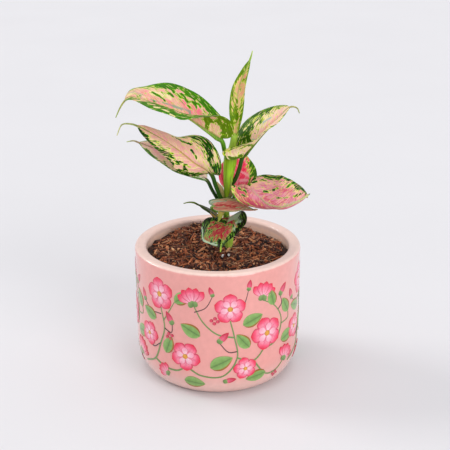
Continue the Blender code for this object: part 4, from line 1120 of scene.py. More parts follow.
        "midrib": [(-2.6, -11.8, 128.6), (3.5, -12.6, 128.7), (11.5, -12.0, 127.6), (19.0, -10.9, 126.4),
                   (27.0, -9.8, 125.7)],
        "tip": [(28.5, -9.4, 125.6)],
        "face": [(0.0, -0.1, 1.0), (0.1, 0.1, 1.0)],
        "left": half(10.1, (31, 28, 20), (-50, 1, -10), 6),
        "right": half(12.1, (-5, 13, 35), (21, -8, 6), 0.4),
        "outline": (0.41, 0.93), "stalk": 1.0, "lobe_lean": 0.0, "ripple": (0.2, 16.0, 0.0), "rib_end": 0.3,
        "blush": 0.5, "ragged": 0.2, "gaps": 0.2, "specks": 0.1,
        "margins": ((0.3, 0.2, 0.15, 0.2, 0.5), (0.14, 0.12, 0.1, 0.15, 0.4)),
        "colours": ("#466438", "#6E8A58", "#9AA878", "#CCAA80", "#C47A6C", "#A43838", "#9DB09A", "#C08070",
                    "#A9B48A"),
        "tints": ("#5E8F2C", "#6F9A3C", "#C98A7A", "#C09078", "#9FA860"),
        "green": [(0.4, 17.6, -1.1, 21.1, 7.6, 0.6), (0.8, 2.3, 2.0, 7.7, -0.9, 0.6),
            (0.8, 1.6, -4.2, 9.7, -6.5, 0.4), (0.6, 2.3, 2.8, 13.2, -1.3, 0.3),
            (0.7, 16.1, -0.8, 23.6, -2.2, 0.5)],
        "red": [(0.5, 5.1, -2.1, 13.2, -1.3, 0.6), (-0.2, 6.2, 3.7, 14.0, 11.3, 0.9),
            (0.5, 0.5, 0.5, 8.7, 4.3, 0.9), (0.3, 0.7, -0.9, 19.0, -1.0, 0.7),
            (0.5, 0.7, -0.9, 16.1, -2.0, 0.5)],
        "silver_and_sheen": [(0.6, 0.4, -4.0, 9.0, -5.7, 1.0), (0.8, 1.0, -5.5, 5.6, -6.1, 0.7)],
    },
    "leaf_thin_left": {
        "petiole": [(7.0, 0.8, 108.5), (3.8, 2.0, 113.3)],
        "midrib": [(0.4, 1.4, 117.4), (-4.8, -2.2, 122.4), (-10.0, -5.6, 126.6), (-16.5, -7.4, 130.0)],
        "tip": [(-20.0, -8.0, 130.6), (-24.0, -8.2, 129.8)],
        "face": [(0.0, -0.1, 1.0), (-0.1, 0.1, 1.0)],
        "left": half(6.5, (-30, -20, -15), (-25, -15, -20), 2.5),
        "right": half(3, (20, 15, 10), (-5, -5, 0), 0),
        "outline": (0.35, 0.9), "stalk": 0.8, "lobe_lean": 0.0, "ripple": (0.1, 12.0, 0.0), "rib_end": 1.0,
        "blush": 0.35, "ragged": 0.2, "gaps": 0.1, "specks": 0.0,
        "margins": ((0.6, 0.8, 1.0, 1.0, 1.0), (0.6, 0.8, 1.0, 1.0, 1.0)),
        "colours": ("#263A04", "#4A6008", "#8A8A20", "#C09A30", "#B8862C", "#A86C24", "#6A7A50", "#3E5010",
                    "#5A6A20"),
        "tints": ("#56680C", "#4E5E0C", "#46580E", "#52641A", "#78883C"),
        "green": [(-1.1, 9.9, -4.8, 4.6, -4.5, 1.2)],
    },
    "leaf_bottom_front": {
        "petiole": [(7.6, 0.0, 101.0), (7.5, -3.2, 109.5)],
        "midrib": [(7.0, -6.0, 118.0), (6.5, -14.5, 118.0), (5.0, -23.0, 116.0), (4.0, -32.0, 113.0),
                   (2.5, -39.5, 108.5)],
        "tip": [(2.2, -41.0, 106.0)],
        "face": [(-0.2, 0.0, 1.0), (-0.4, -0.8, 0.4)],
        "left": half(15.5, (10, 10, 15), (0, -25, -15), 5),
        "right": half(20.5, (8, 0, 5), (-5, -25, -25), 4),
        "outline": (0.51, 0.92), "stalk": 1.4, "lobe_lean": 0.0, "ripple": (0.3, 18.0, 0.0), "rib_end": 0.2,
        "blush": 0.8, "ragged": 0.33, "gaps": 0.3, "specks": 0.35,
        "margins": ((0.62, 0.5, 0.42, 0.5, 0.8), (0.62, 0.48, 0.42, 0.5, 0.8)),
        # The near-black dark green is painted shade by the base, under the sheath flap and the low leaf above,
        # where strong green strokes put it; elsewhere it is the margin's own dark green
        "colours": ("#070E01", "#4F811D", "#82B040", "#98A45C", "#AE3345", "#9F122E", "#B8D0AE", "#5C3A30",
                    "#7F9A6A"),
        "tints": ("#5E8A34", "#6F9A44", "#4F7820", "#88A830", "#B4C848"),
        "green": [(0.9, 6.7, -11.2, 17.6, -13.5, 3.2), (0.5, 6.4, 3.3, 14.1, -1.4, 1.6),
            (0.5, 4.2, 15.0, 3.7, 4.7, 1.6), (-0.8, 12.4, 13.1, 11.2, 5.5, 0.9),
            (-0.8, 20.6, 11.5, 20.2, 1.7, 1.2), (-0.7, 7.4, 12.0, 7.1, 9.0, 0.7),
            (-0.8, 25.6, 0.6, 17.1, -5.4, 0.7), (-0.6, 10.8, -2.1, 13.7, -6.2, 0.9),
            (0.5, 16.3, 12.8, 15.4, 1.9, 0.4), (0.45, 24.4, 8.5, 20.6, -2.5, 0.4),
            (-0.35, 16.7, 17.7, 25.2, 12.0, 1.2), (1.2, 28.9, 2.8, 34.7, -0.3, 1.4),
            (0.8, 7.8, 17.4, 3.4, 9.2, 1.9), (0.6, 8.9, 19.3, 16.7, 17.7, 0.9), (1.1, 2.9, 9.5, 8.9, 0.9, 1.9),
            (0.5, 12.9, -4.2, 26.8, -9.5, 1.9), (-0.35, 14.1, 16.5, 25.2, 12.0, 1.9),
            (0.7, 10.8, 12.2, 9.3, 7.1, 0.6), (0.7, 9.3, 7.1, 13.3, 0.9, 0.5),
            (0.7, 23.6, 0.7, 17.6, -3.4, 0.6), (0.6, 29.3, -3.4, 24.8, -6.7, 0.6),
            (0.5, 15.0, 13.0, 14.1, 9.9, 0.4), (-0.35, 6.7, 15.8, 5.7, 9.1, 0.9),
            (0.35, 8.5, 19.5, 4.2, 14.6, 1.4), (-0.6, 23.2, -4.9, 18.9, -9.2, 1.3)],
        "red": [(0.25, 14.6, 11.5, 25.6, 1.9, 2.2), (-0.2, 24.4, -1.0, 14.6, -5.5, 1.4),
            (-0.7, 4.8, 2.2, 7.8, -4.6, 1.2), (-0.5, 23.2, -4.9, 18.9, -9.2, 1.6)],
        # These silver strokes paint the pale mint rim, and a painted sheen on the dark right half
        "silver_and_sheen": [(0.7, 17.6, 18.7, 27.5, 11.6, 0.7), (0.6, 28.9, 9.5, 30.6, 4.1, 0.6),
            (1.2, 21.0, 17.6, 29.3, 10.0, 0.8), (1, 29.3, 10.0, 32.8, 4.0, 0.7),
            (0.62, 3.2, -2.4, 12.4, -10.5, 2.2), (1, 9.6, 19.2, 18.4, 18.0, 0.5),
            (-1.5, 31.2, 0.3, 36.0, -0.3, 2.2), (1, 5.1, -8.5, 7.8, -2.6, 2.3),
            (0.55, 13.3, -8.1, 24.0, -7.9, 1.3)],
    },
}

strokes = sum(len(spec.get(kind, ())) for spec in LEAVES.values() for kind in ("green", "red", "silver_and_sheen"))
print(len(LEAVES), "leaves with", strokes, "brush strokes")

BLADE_THICKNESS = 0.6
BLADE_ROWS = 130
HALF_COLUMNS = 28
LOBE_CLEARANCE = 0.6
SOLID_THICKNESS = 0.8


def three_stage(values, t):
    """Eases from a base value through a middle value to a tip value."""
    low, high = np.clip(2 * t, 0, 1), np.clip(2 * t - 1, 0, 1)
    base, middle, tip = values
    return base + (middle - base) * low**2 * (3 - 2 * low) + (tip - middle) * high**2 * (3 - 2 * high)


def outline(t, rise, fall):
    """Share of the full width along the blade, 1 at its widest place."""
    widest = rise / (rise + fall)
    return t**rise * (1 - t) ** fall / (widest**rise * (1 - widest) ** fall)


def blade_grid(spec):
    """Middle surface of a blade with what a shader needs to know of each point."""
    curve = smooth_curve(spec["petiole"] + spec["midrib"] + spec["tip"])
    s = lengths(curve)
    start = s[CURVE_STEPS * len(spec["petiole"])]
    end = s[CURVE_STEPS * (len(spec["petiole"]) + len(spec["midrib"]) - 1)]
    tangents = unit(np.gradient(curve, axis=0))
    t = (1 - np.cos(np.linspace(0, math.pi, BLADE_ROWS + 1))) / 2
    where = start + (end - start) * t
    centre = along(curve, where)
    heading = unit(between(where, s, tangents))
    direction = unit(heading + unit(centre[-1] - centre[0]))
    base_face, tip_face = (np.array(f, float) for f in spec["face"])
    up = unit(base_face) * (1 - t[:, None]) + unit(tip_face) * t[:, None]
    up = unit(up - np.sum(up * direction, axis=1, keepdims=True) * direction)
    side = np.cross(direction, up)
    shares = np.sin(np.linspace(0, math.pi / 2, HALF_COLUMNS + 1))
    shares = 0.5 * shares + 0.5 * np.linspace(0, 1, HALF_COLUMNS + 1)
    grid = np.zeros((len(t), 2 * HALF_COLUMNS + 1, 3))
    out = np.zeros(grid.shape[:2])
    grid[:, HALF_COLUMNS] = centre
    opening = np.clip(t / 0.08, 0, 1)
    opening = opening**2 * (3 - 2 * opening)
    for sign, key in ((1, "right"), (-1, "left")):
        part = spec[key]
        width = np.maximum(part["width"] * outline(t, *spec["outline"]), 0.3)
        flat = np.where(t > 0.5, np.clip((width - 0.8) / 2.5, 0, 1), 1.0)
        fold = np.radians(three_stage(part["fold"], t)) * flat * (1 + opening) / 2
        tightest = width / (1.3 * SOLID_THICKNESS)
        bend = np.clip(np.radians(three_stage(part["curl"], t)) * flat, -tightest, tightest)
        spare = np.maximum(width - spec["stalk"] - LOBE_CLEARANCE, 0.01)
        lobe = spare * np.clip(1 - t / 0.4, 0, 1) ** 1.5
        lobe_way = direction - (spec["lobe_lean"] if sign > 0 else 0.0) * up
        back = part["lobe"] * lobe / lobe.max()
        for j, u in enumerate(shares[1:], start=1):
            turn = bend * u / 2
            reach = (width * u * np.sinc(turn / math.pi))[:, None]
            lift = (fold + turn)[:, None]
            point = centre + reach * (np.cos(lift) * side * sign + np.sin(lift) * up)
            beyond = np.clip((width * (u - 1) + spare) / spare, 0, 1) ** 1.2
            grid[:, HALF_COLUMNS + sign * j] = point - lobe_way * (back * beyond)[:, None]
            out[:, HALF_COLUMNS + sign * j] = sign * width * u
    across = np.concatenate([-shares[:0:-1], shares])
    return {"t": t, "across": across, "grid": grid, "out": out, "direction": direction, "up": up,
            "curve": curve, "s": s, "start": start, "end": end, "length": end - start}


# %% [markdown]
# ## The leaves: variegation
#
# The pattern of a leaf is laid down by its veins. The green margin and the pink heart meet in ragged
# steps, and every fleck is drawn out along the side veins. So two things are stored with each point:
# in a UV map, how far out it is and where its side vein leaves the midrib, both in millimetres, and in
# a colour attribute, three soft fields: how green, how red and how silvery the leaf is there. The
# silvery field also carries painted sheen, gloss highlights drawn into the colour. The shader roughens
# those soft fields with noise that is stretched along the veins, and cuts them into steps. The detail
# stays sharp in any close view.

# %% Fields of colour over a blade
VEIN_SWEEP = (1.0, 0.9)
VEIN_SPACING = 5.0
MARGIN_PLACES = (0.0, 0.2, 0.5, 0.8, 1.0)
MARGIN_SOFTNESS = 0.3


def colour_fields(spec, shape):
    """Green, red and silver fields of a blade, 0 for none and 1 for full. The margins give the green
    one, the blush the red one, and brush strokes add or take colour between two points. The silver
    field holds silvery green and painted sheen, which stands in for gloss highlights."""
    t = shape["t"][:, None]
    a = shape["across"][None, :]
    left, right = (np.interp(t, MARGIN_PLACES, widths) for widths in spec["margins"])
    band = np.where(a < 0, left, right)
    green = 0.5 + 0.5 * np.clip((np.abs(a) - 1 + band) / MARGIN_SOFTNESS, -1, 1)
    fields = {"green": green, "red": np.full(green.shape, float(spec["blush"])),
              "silver_and_sheen": np.zeros(green.shape)}
    place = np.stack([t * shape["length"] + 0 * a, shape["out"]], -1)
    for kind in fields:
        for amount, *ends, width in spec.get(kind, ()):
            first, line = np.array(ends[:2]), np.array(ends[2:]) - np.array(ends[:2])
            share = np.clip(((place - first) @ line) / max(float(line @ line), 1e-9), 0, 1)
            gap = np.linalg.norm(place - first - share[..., None] * line, axis=-1)
            fields[kind] = fields[kind] + amount * np.exp(-((gap / width) ** 2.6))
    # A stroke may go past 1 or below 0, so that the shader's noise doesn't break it up
    return [np.clip(fields[kind], -0.4, 1.4) for kind in ("green", "red", "silver_and_sheen")]


# %% [markdown]
# ## Leaf blade
#
# A living leaf is a waxy skin over moist tissue: a satin gloss, a little light let through, and pale
# side veins about 5 mm apart that press a soft quilt into the surface. The underside is paler and
# duller.

# %% Leaf blade material
LEAF_SPECULAR_IOR = 1.42


def variegated_blade(name, spec):
    """Waxy leaf skin, whose pattern the noise cuts out of the stored fields."""
    dark, green, lime, cream, pink, red, silver_and_sheen, rib_line, below = spec["colours"]
    mat, tree, shader = new_material(name)
    veins = add(tree, "ShaderNodeUVMap", uv_map="veins")
    fields = add(tree, "ShaderNodeAttribute", attribute_name="fields")
    field = add(tree, "ShaderNodeSeparateColor", {0: fields.outputs["Color"]})

    def streaked_noise(long, wide, detail):
        """Noise from -1 to 1 in streaks of the given length and width in mm along the side veins."""
        stretched = add(tree, "ShaderNodeMapping", {"Vector": veins, "Scale": (1 / long, 1 / wide, 1.0)})
        noise = add(tree, "ShaderNodeTexNoise", {"Vector": stretched, "Scale": 1.0, "Detail": detail,
                                                 "Roughness": 0.55})
        return add(tree, "ShaderNodeMapRange", {0: noise, 1: 0.3, 2: 0.7, 3: -1.0, 4: 1.0},
                   clamp=False)

    patches = streaked_noise(3.0, 4.2, 1.0)
    flecks = streaked_noise(1.5, 1.4, 1.0)
    hues = streaked_noise(2.4, 2.0, 1.0)
    mottle = streaked_noise(1.9, 1.5, 1.0)
    broken = add(tree, "ShaderNodeMath", {0: patches, 1: spec["ragged"], 2: field.outputs[0]},
                 operation="MULTIPLY_ADD")
    broken = add(tree, "ShaderNodeMath", {0: flecks, 1: spec["ragged"], 2: broken}, operation="MULTIPLY_ADD")
    # Small gaps break the green open, with a lime rim and a cream middle
    broken = add(tree, "ShaderNodeMath", {0: broken, 1: 0.92}, operation="MINIMUM")
    gap = add(tree, "ShaderNodeMapRange", {0: mottle, 1: 0.4, 2: 1.0, 3: 0.0, 4: spec["gaps"]})
    broken = add(tree, "ShaderNodeMath", {0: broken, 1: gap}, operation="SUBTRACT")
    cut = add(tree, "ShaderNodeMapRange", {0: broken, 1: 0.44, 2: 0.47})
    # Within the green, lime flecks lie by the heart and the darkest green by the margin
    depth = add(tree, "ShaderNodeMath", {0: hues, 1: 0.22, 2: broken}, operation="MULTIPLY_ADD")
    step = add(tree, "ShaderNodeValToRGB", {0: depth},
               stops=[(0.4, cream), (0.46, lime), (0.56, lime), (0.63, green), (0.71, green), (0.84, dark)])
    # The heart runs from cream over pink to red, in long streaks along the veins
    streaks = streaked_noise(7.0, 1.2, 3.0)
    blush = add(tree, "ShaderNodeMath", {0: streaks, 1: 0.3, 2: field.outputs[1]}, operation="MULTIPLY_ADD")
    blush = add(tree, "ShaderNodeMath", {0: hues, 1: 0.08, 2: blush}, operation="MULTIPLY_ADD")
    heart = add(tree, "ShaderNodeValToRGB", {0: blush},
                stops=[(0.1, cream), (0.42, pink), (0.85, red)])
    pale = add(tree, "ShaderNodeMath", {0: hues, 1: 0.12, 2: broken}, operation="MULTIPLY_ADD")
    pale = add(tree, "ShaderNodeMapRange", {0: pale, 1: 0.24, 2: 0.42, 4: 0.85})
    heart = add(tree, "ShaderNodeMix", {0: pale, 6: heart, 7: cream}, data_type="RGBA")
    # Loose specks of lime float in the heart
    speck = add(tree, "ShaderNodeMapRange", {0: mottle, 1: -0.35, 2: -0.6, 3: 0.0, 4: spec["specks"]})
    heart = add(tree, "ShaderNodeMix", {0: speck, 6: heart, 7: lime}, data_type="RGBA")
    skin = add(tree, "ShaderNodeMix", {0: cut, 6: heart, 7: step}, data_type="RGBA")
    # Silvery green and painted sheen in patches of their own; the sheen is a painted gloss highlight
    silver_sheen_share = add(tree, "ShaderNodeMath", {0: flecks, 1: 0.25, 2: field.outputs[2]}, operation="MULTIPLY_ADD")
    silver_sheen_share = add(tree, "ShaderNodeMapRange", {0: silver_sheen_share, 1: 0.32, 2: 0.75, 4: 0.8})
    skin = add(tree, "ShaderNodeMix", {0: silver_sheen_share, 6: skin, 7: silver_and_sheen}, data_type="RGBA")
    # Side veins show as faint pale lines, and the midrib as a line 1 mm wide
    vein_place = add(tree, "ShaderNodeSeparateXYZ", {0: veins})
    wave = add(tree, "ShaderNodeMath", {0: vein_place.outputs["Y"], 1: 2 * math.pi / VEIN_SPACING},
               operation="MULTIPLY")
    wave = add(tree, "ShaderNodeMath", {0: wave}, operation="COSINE")
    line = add(tree, "ShaderNodeMapRange", {0: wave, 1: 0.9, 2: 1.0, 3: 0.0, 4: 0.06})
    skin = add(tree, "ShaderNodeMix", {0: line, 6: skin, 7: cream}, data_type="RGBA")
    away = add(tree, "ShaderNodeMath", {0: vein_place.outputs["X"]}, operation="ABSOLUTE")
    away = add(tree, "ShaderNodeMath", {0: hues, 1: 0.15, 2: away}, operation="MULTIPLY_ADD")
    rib = add(tree, "ShaderNodeMapRange", {0: away, 1: 0.35, 2: 0.75, 3: 0.8, 4: 0.0},
              interpolation_type="SMOOTHSTEP")
    rib = add(tree, "ShaderNodeMath", {0: rib, 1: fields.outputs["Alpha"]}, operation="MULTIPLY")
    skin = add(tree, "ShaderNodeMix", {0: rib, 6: skin, 7: rib_line}, data_type="RGBA")
    under = add(tree, "ShaderNodeAttribute", attribute_name="under")
    dull = add(tree, "ShaderNodeMath", {0: under.outputs["Fac"], 1: 0.2}, operation="MULTIPLY")
    skin = add(tree, "ShaderNodeMix", {0: dull, 6: skin, 7: below}, data_type="RGBA")
    gloss = add(tree, "ShaderNodeMapRange", {0: flecks, 1: -1.0, 2: 1.0, 3: 0.32, 4: 0.44})
    gloss = add(tree, "ShaderNodeMath", {0: under.outputs["Fac"], 1: 0.15, 2: gloss},
                operation="MULTIPLY_ADD")
    relief = add(tree, "ShaderNodeMath", {0: flecks, 1: 0.25, 2: wave}, operation="MULTIPLY_ADD")
    quilt = add(tree, "ShaderNodeBump", {"Strength": 0.3, "Distance": 0.0002, "Height": relief}, invert=True)
    wire(tree, shader, {"Base Color": skin, "Roughness": gloss, "Normal": quilt, "IOR": LEAF_SPECULAR_IOR,
                        "Specular IOR Level": 0.15, "Subsurface Weight": 0.25,
                        "Subsurface Radius": (0.8, 0.8, 0.4), "Subsurface Scale": 0.0012})
    return mat


# %% [markdown]
# ## Petiole, midrib and drip tip
#
# They are one strand of juicy green tissue, so they are one round tube: thick and clasping at the
# cane, sunk into the underside of the blade along the midrib, and a thread at the drip tip. Its
# colour changes along the way, so each point stores its own tint.

# %% Strand material and mesh
def fresh_stalk():
    """Juicy stem tissue: a clear green with long fibres, smooth and slightly shiny."""
    mat, tree, shader = new_material("fresh_green_stalk")
    place = add(tree, "ShaderNodeTexCoord").outputs["Object"]
    tint = add(tree, "ShaderNodeAttribute", attribute_name="tint")
    stretched = add(tree, "ShaderNodeMapping", {"Vector": place, "Scale": (800.0, 800.0, 50.0)})
    fibres = add(tree, "ShaderNodeTexNoise", {"Vector": stretched, "Scale": 1.0, "Detail": 3.0})
    spread = add(tree, "ShaderNodeMapRange", {0: fibres, 1: 0.3, 2: 0.7, 3: 0.7, 4: 1.32})
    toned = add(tree, "ShaderNodeVectorMath", {0: tint, 1: spread}, operation="MULTIPLY")
    relief = add(tree, "ShaderNodeBump", {"Strength": 0.25, "Distance": 0.0003, "Height": fibres})
    wire(tree, shader, {"Base Color": toned, "Normal": relief, "Roughness": 0.38, "IOR": LEAF_SPECULAR_IOR,
                        "Specular IOR Level": 0.25, "Subsurface Weight": 0.2,
                        "Subsurface Radius": (0.7, 1.0, 0.3), "Subsurface Scale": 0.0015})
    return mat


stalk_skin = fresh_stalk()
STRAND_SIDES = 14
TIP_RADIUS = 0.7
RIB_DEPTH = 0.3


def strand_mesh(spec, shape):
    """Petiole, midrib and tip as one tube, and the tint of its points."""
    s, start, end = shape["s"], shape["start"], shape["end"]
    where = np.concatenate([np.linspace(0, start, 26)[:-1], start + (end - start) * shape["t"][::2],
                            np.linspace(end, s[-1], 22)[1:]])
    centres = along(shape["curve"], where)
    share = np.clip((where - start) / (end - start), 0, 1)
    beyond = np.clip((where - end) / max(s[-1] - end, 1e-6), 0, 1)
    stalk = spec["stalk"]
    clasp = stalk * (1 + 0.45 * np.clip(1 - where / 7.0, 0, 1) ** 2)
    radius = np.where(where < start, clasp, stalk * (1 - share) ** 4 + TIP_RADIUS * share**0.5)
    radius = np.where(where > end, TIP_RADIUS * (1 - 0.55 * beyond), radius)
    # The midrib sinks below the blade, and only its back shows as a line on top
    ups = between(share, shape["t"], shape["up"])
    sunk = np.clip(share / 0.06, 0, 1) * (where <= end)
    centres = centres - ups * ((radius - 0.5 * BLADE_THICKNESS + RIB_DEPTH) * sunk * (1 - share**6))[:, None]
    points, faces = round_skin(centres, radius, ups[0], STRAND_SIDES)
    tints = np.array([paint(tint)[:3] for tint in spec["tints"]])
    tint = between(where, [0.0, start * 0.9, start + (end - start) * 0.35, end], tints[:4])
    tint = tint + beyond[:, None] * (tints[4] - tint)
    rows = np.repeat(tint, STRAND_SIDES, axis=0)
    return points, faces, np.vstack([rows, tint[:1], tint[-1:]])


# %% Build the leaves
GROOVE_DEPTH, GROOVE_WIDTH, QUILT_HEIGHT = 0.3, 1.6, 0.07


def build_leaf(name, spec, blade_material):
    """A leaf from its blade and its strand, with all that its materials read."""
    shape = blade_grid(spec)
    grid, t, across = shape["grid"], shape["t"], shape["across"]
    normal = unit(np.cross(np.gradient(grid, axis=1), shape["direction"][:, None, :]))
    out, abs_a = shape["out"], np.abs(across)[None, :]
    vein = t[:, None] * shape["length"] - np.abs(out) * (VEIN_SWEEP[0] + VEIN_SWEEP[1] * abs_a)
    # Margins ripple a little, the midrib lies in a shallow groove, and the quilt swells between veins
    size, length, phase = spec["ripple"]
    envelope = np.clip(t / 0.15, 0, 1)[:, None] * np.clip((1 - t) / 0.12, 0, 1)[:, None]
    sides = np.where(across[None, :] < 0, 1.7, 0.0)
    waves = np.sin(2 * math.pi * t[:, None] * shape["length"] / length + phase + sides)
    swell = size * abs_a**2.2 * waves * envelope
    swell = swell - GROOVE_DEPTH * np.exp(-((out / GROOVE_WIDTH) ** 2)) * (abs_a < 1) * envelope
    quilt = np.cos(2 * math.pi * vein / VEIN_SPACING) * np.clip(abs_a * 4, 0, 1) * (1 - abs_a**4)
    swell = swell + QUILT_HEIGHT * quilt * envelope
    middle = grid + normal * swell[..., None]
    thin = BLADE_THICKNESS / 2 * (1 - 0.6 * abs_a**4)
    top = middle + normal * thin[..., None]
    under = middle - normal * thin[..., None]
    blade_points, blade_faces = sheet_skin(top, under)
    strand_points, strand_faces, tint = strand_mesh(spec, shape)
    first = len(blade_points)
    points = np.vstack([blade_points, strand_points])
    faces = blade_faces + [tuple(i + first for i in f) for f in strand_faces]
    slots = [0] * len(blade_faces) + [1] * len(strand_faces)
    leaf = mesh_object(name, points, faces, [blade_material, stalk_skin], slots)
    pad = len(strand_points)
    green, red, silver_and_sheen = colour_fields(spec, shape)
    rib_shows = np.clip((spec["rib_end"] + 0.1 - t[:, None]) / 0.2, 0, 1) + 0 * green
    one = np.stack([green, red, silver_and_sheen, rib_shows], -1).reshape(-1, 4)
    store(leaf, "fields", np.vstack([one, one, np.zeros((pad, 4))]), "FLOAT_COLOR")
    half_count = len(one)
    store(leaf, "under", np.concatenate([np.zeros(half_count), np.ones(half_count), np.zeros(pad)]))
    store(leaf, "tint", np.vstack([np.ones((2 * half_count, 3)), tint]), "FLOAT_COLOR")
    flat = np.stack([out, vein], -1).reshape(-1, 2)
    flat = np.vstack([flat, flat, np.zeros((pad, 2))])
    corners = np.zeros(len(leaf.data.loops), np.int32)
    leaf.data.loops.foreach_get("vertex_index", corners)
    leaf.data.uv_layers.new(name="veins").data.foreach_set("uv", flat[corners].astype(np.float32).ravel())
    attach(leaf, "root")
    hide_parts(name)
    count_faces(leaf)


for name, spec in LEAVES.items():
    build_leaf(name, spec, variegated_blade("blade_" + name[5:], spec))

# %% [markdown]
# ## The cane and its sheaths
#
# The cane is a green rod as thick as a pencil lead holder. Each petiole starts as a sheath wrapped
# round it, so it swells and narrows, and it grows pale scars where old leaves fell. It is one tube
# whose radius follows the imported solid, with low rings where the scars are.

# %% Cane
STEM_AXIS = [(8.2, 0.0, 75.0), (7.6, 0.0, 89.0), (7.9, 0.0, 99.0), (6.6, 0.0, 112.0), (6.4, 0.0, 121.0),
             (6.7, 0.0, 131.0), (7.1, 0.0, 138.0), (8.0, 0.2, 150.0), (8.8, 0.5, 157.0), (9.5, 0.8, 162.0),
             (10.2, 1.2, 167.0)]
STEM_RADIUS = [1.8, 1.9, 3.6, 2.6, 2.0, 2.1, 2.7, 3.8, 4.6, 4.8, 3.2]
SCAR_HEIGHTS = (104.0, 116.5, 131.0, 144.0)
SCAR_RISE, SCAR_REACH = 0.18, 0.8
CANE_SIDES = 40
STEM_TINTS = ["#6E8A3A", "#A4B850", "#90B040", "#92B03C", "#7FA424", "#7C9E1C", "#84AC20", "#92BE28", "#90BC24",
              "#7E9E1C", "#86A028"]


def build_cane():
    """The cane as one tube, with its scars and tints."""
    curve = smooth_curve(STEM_AXIS)
    s = lengths(curve)
    knots = s[::CURVE_STEPS]
    where = np.linspace(0, s[-1], 150)
    centres = along(curve, where)
    radius = np.interp(where, knots, STEM_RADIUS)
    for height in SCAR_HEIGHTS:
        radius = radius + SCAR_RISE * np.exp(-(((centres[:, 2] - height) / SCAR_REACH) ** 2))
    points, faces = round_skin(centres, radius, np.array([0.0, -1.0, 0.0]), CANE_SIDES)
    cane = mesh_object("cane", points, faces, [stalk_skin])
    tint = between(where, knots, [paint(c)[:3] for c in STEM_TINTS])
    rows = np.repeat(tint, CANE_SIDES, axis=0)
    rows = np.vstack([rows, tint[:1], tint[-1:]])
    store(cane, "tint", rows, "FLOAT_COLOR")
    return cane


cane = build_cane()
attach(cane, "root")
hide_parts("stem")
count_faces(cane)

# %% [markdown]
# ## Sheaths
#
# The foot of each petiole widens into a thin pale sheath that wraps the cane, and its free edges
# stand off as membranes and points. They are shorter than a fingernail and follow no rule, so each one
# is a small pointed sheet with its own middle line, half widths and cup. It starts inside the cane or
# the leaf that it grows from, so that nothing hangs free.

# %% Sheaths
SHEATH_ROWS, SHEATH_COLUMNS, SHEATH_THICKNESS = 26, 12, 0.35
SHEATHS = {
    "sheath_left": {"line": [(5.2, -0.6, 127.5), (3.2, -1.8, 133.0), (2.0, -2.4, 138.5), (-0.5, -2.4, 144.2)],
                    "half": (1.2, 2.1, 2.3, 0.15), "cup": 50.0,
                    "tints": ("#7C8E3C", "#A09A58", "#B09A6C", "#A8986A")},
    "sheath_right": {"line": [(8.4, -1.6, 128.0), (9.3, -2.1, 135.0), (9.6, -2.7, 142.0), (9.4, -3.4, 148.5)],
                     "half": (0.5, 0.7, 0.6, 0.1), "cup": 40.0,
                     "tints": ("#7C9430", "#94A450", "#94A450", "#86A038")},
    "sheath_flap": {"line": [(3.2, -15.5, 128.6), (2.6, -17.6, 126.4), (1.8, -17.6, 122.8),
                             (0.4, -16.6, 118.9)],
                    "half": (2.3, 2.4, 1.5, 0.1), "cup": 35.0,
                    "tints": ("#B8946C", "#A89A4C", "#8E9A3C", "#9CA84C")},
}


def sheath(name, spec):
    """A thin sheet cupped round its middle line."""
    curve = smooth_curve(spec["line"])
    s = lengths(curve)
    where = np.linspace(0, s[-1], SHEATH_ROWS + 1)
    centre, knots = along(curve, where), s[::CURVE_STEPS]
    heading = unit(np.gradient(centre, axis=0))
    face = unit(np.array([0.0, -1.0, 0.2]) - (heading @ np.array([0.0, -1.0, 0.2]))[:, None] * heading)
    side = np.cross(heading, face)
    reach = np.interp(where, knots, spec["half"])[:, None, None]
    angle = np.radians(spec["cup"]) * np.linspace(-1, 1, SHEATH_COLUMNS + 1)[None, :, None]
    bend = math.radians(spec["cup"])
    arc = np.sin(angle) * side[:, None] - (1 - np.cos(angle)) * face[:, None]
    grid = centre[:, None] + reach / bend * arc
    normal = np.cos(angle) * face[:, None] + np.sin(angle) * side[:, None]
    points, faces = sheet_skin(grid + normal * SHEATH_THICKNESS / 2, grid - normal * SHEATH_THICKNESS / 2)
    obj = mesh_object(name, points, faces, [stalk_skin])
    tint = between(where, knots, [paint(c)[:3] for c in spec["tints"]])
    rows = np.tile(np.repeat(tint, SHEATH_COLUMNS + 1, axis=0), (2, 1))
    store(obj, "tint", rows, "FLOAT_COLOR")
    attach(obj, "root")
    count_faces(obj)


for name, spec in SHEATHS.items():
    sheath(name, spec)

# %% [markdown]
# ## Perlite
#
# Two white grains lie on the soil in front of the cane. Perlite is volcanic glass blown up by heat, so
# a grain is a chalky, lumpy ball 2 mm across with small pits. A ball of triangles pushed in and out by
# a fixed random amount is enough at this size.

# %% Perlite grains
def blown_glass():
    """Chalky white glass froth with fine pits."""
    mat, tree, shader = new_material("perlite_blown_volcanic_glass")
    place = add(tree, "ShaderNodeTexCoord").outputs["Object"]
    pits = add(tree, "ShaderNodeTexNoise", {"Vector": place, "Scale": 1400.0, "Detail": 3.0})
    tone = add(tree, "ShaderNodeValToRGB", {0: pits},
               stops=[(0.35, "#DCD8D0"), (0.6, "#FFFFFC")])
    relief = add(tree, "ShaderNodeBump", {"Strength": 0.5, "Distance": 0.0003, "Height": pits})
    wire(tree, shader, {"Base Color": tone, "Normal": relief, "Roughness": 0.85})
    return mat


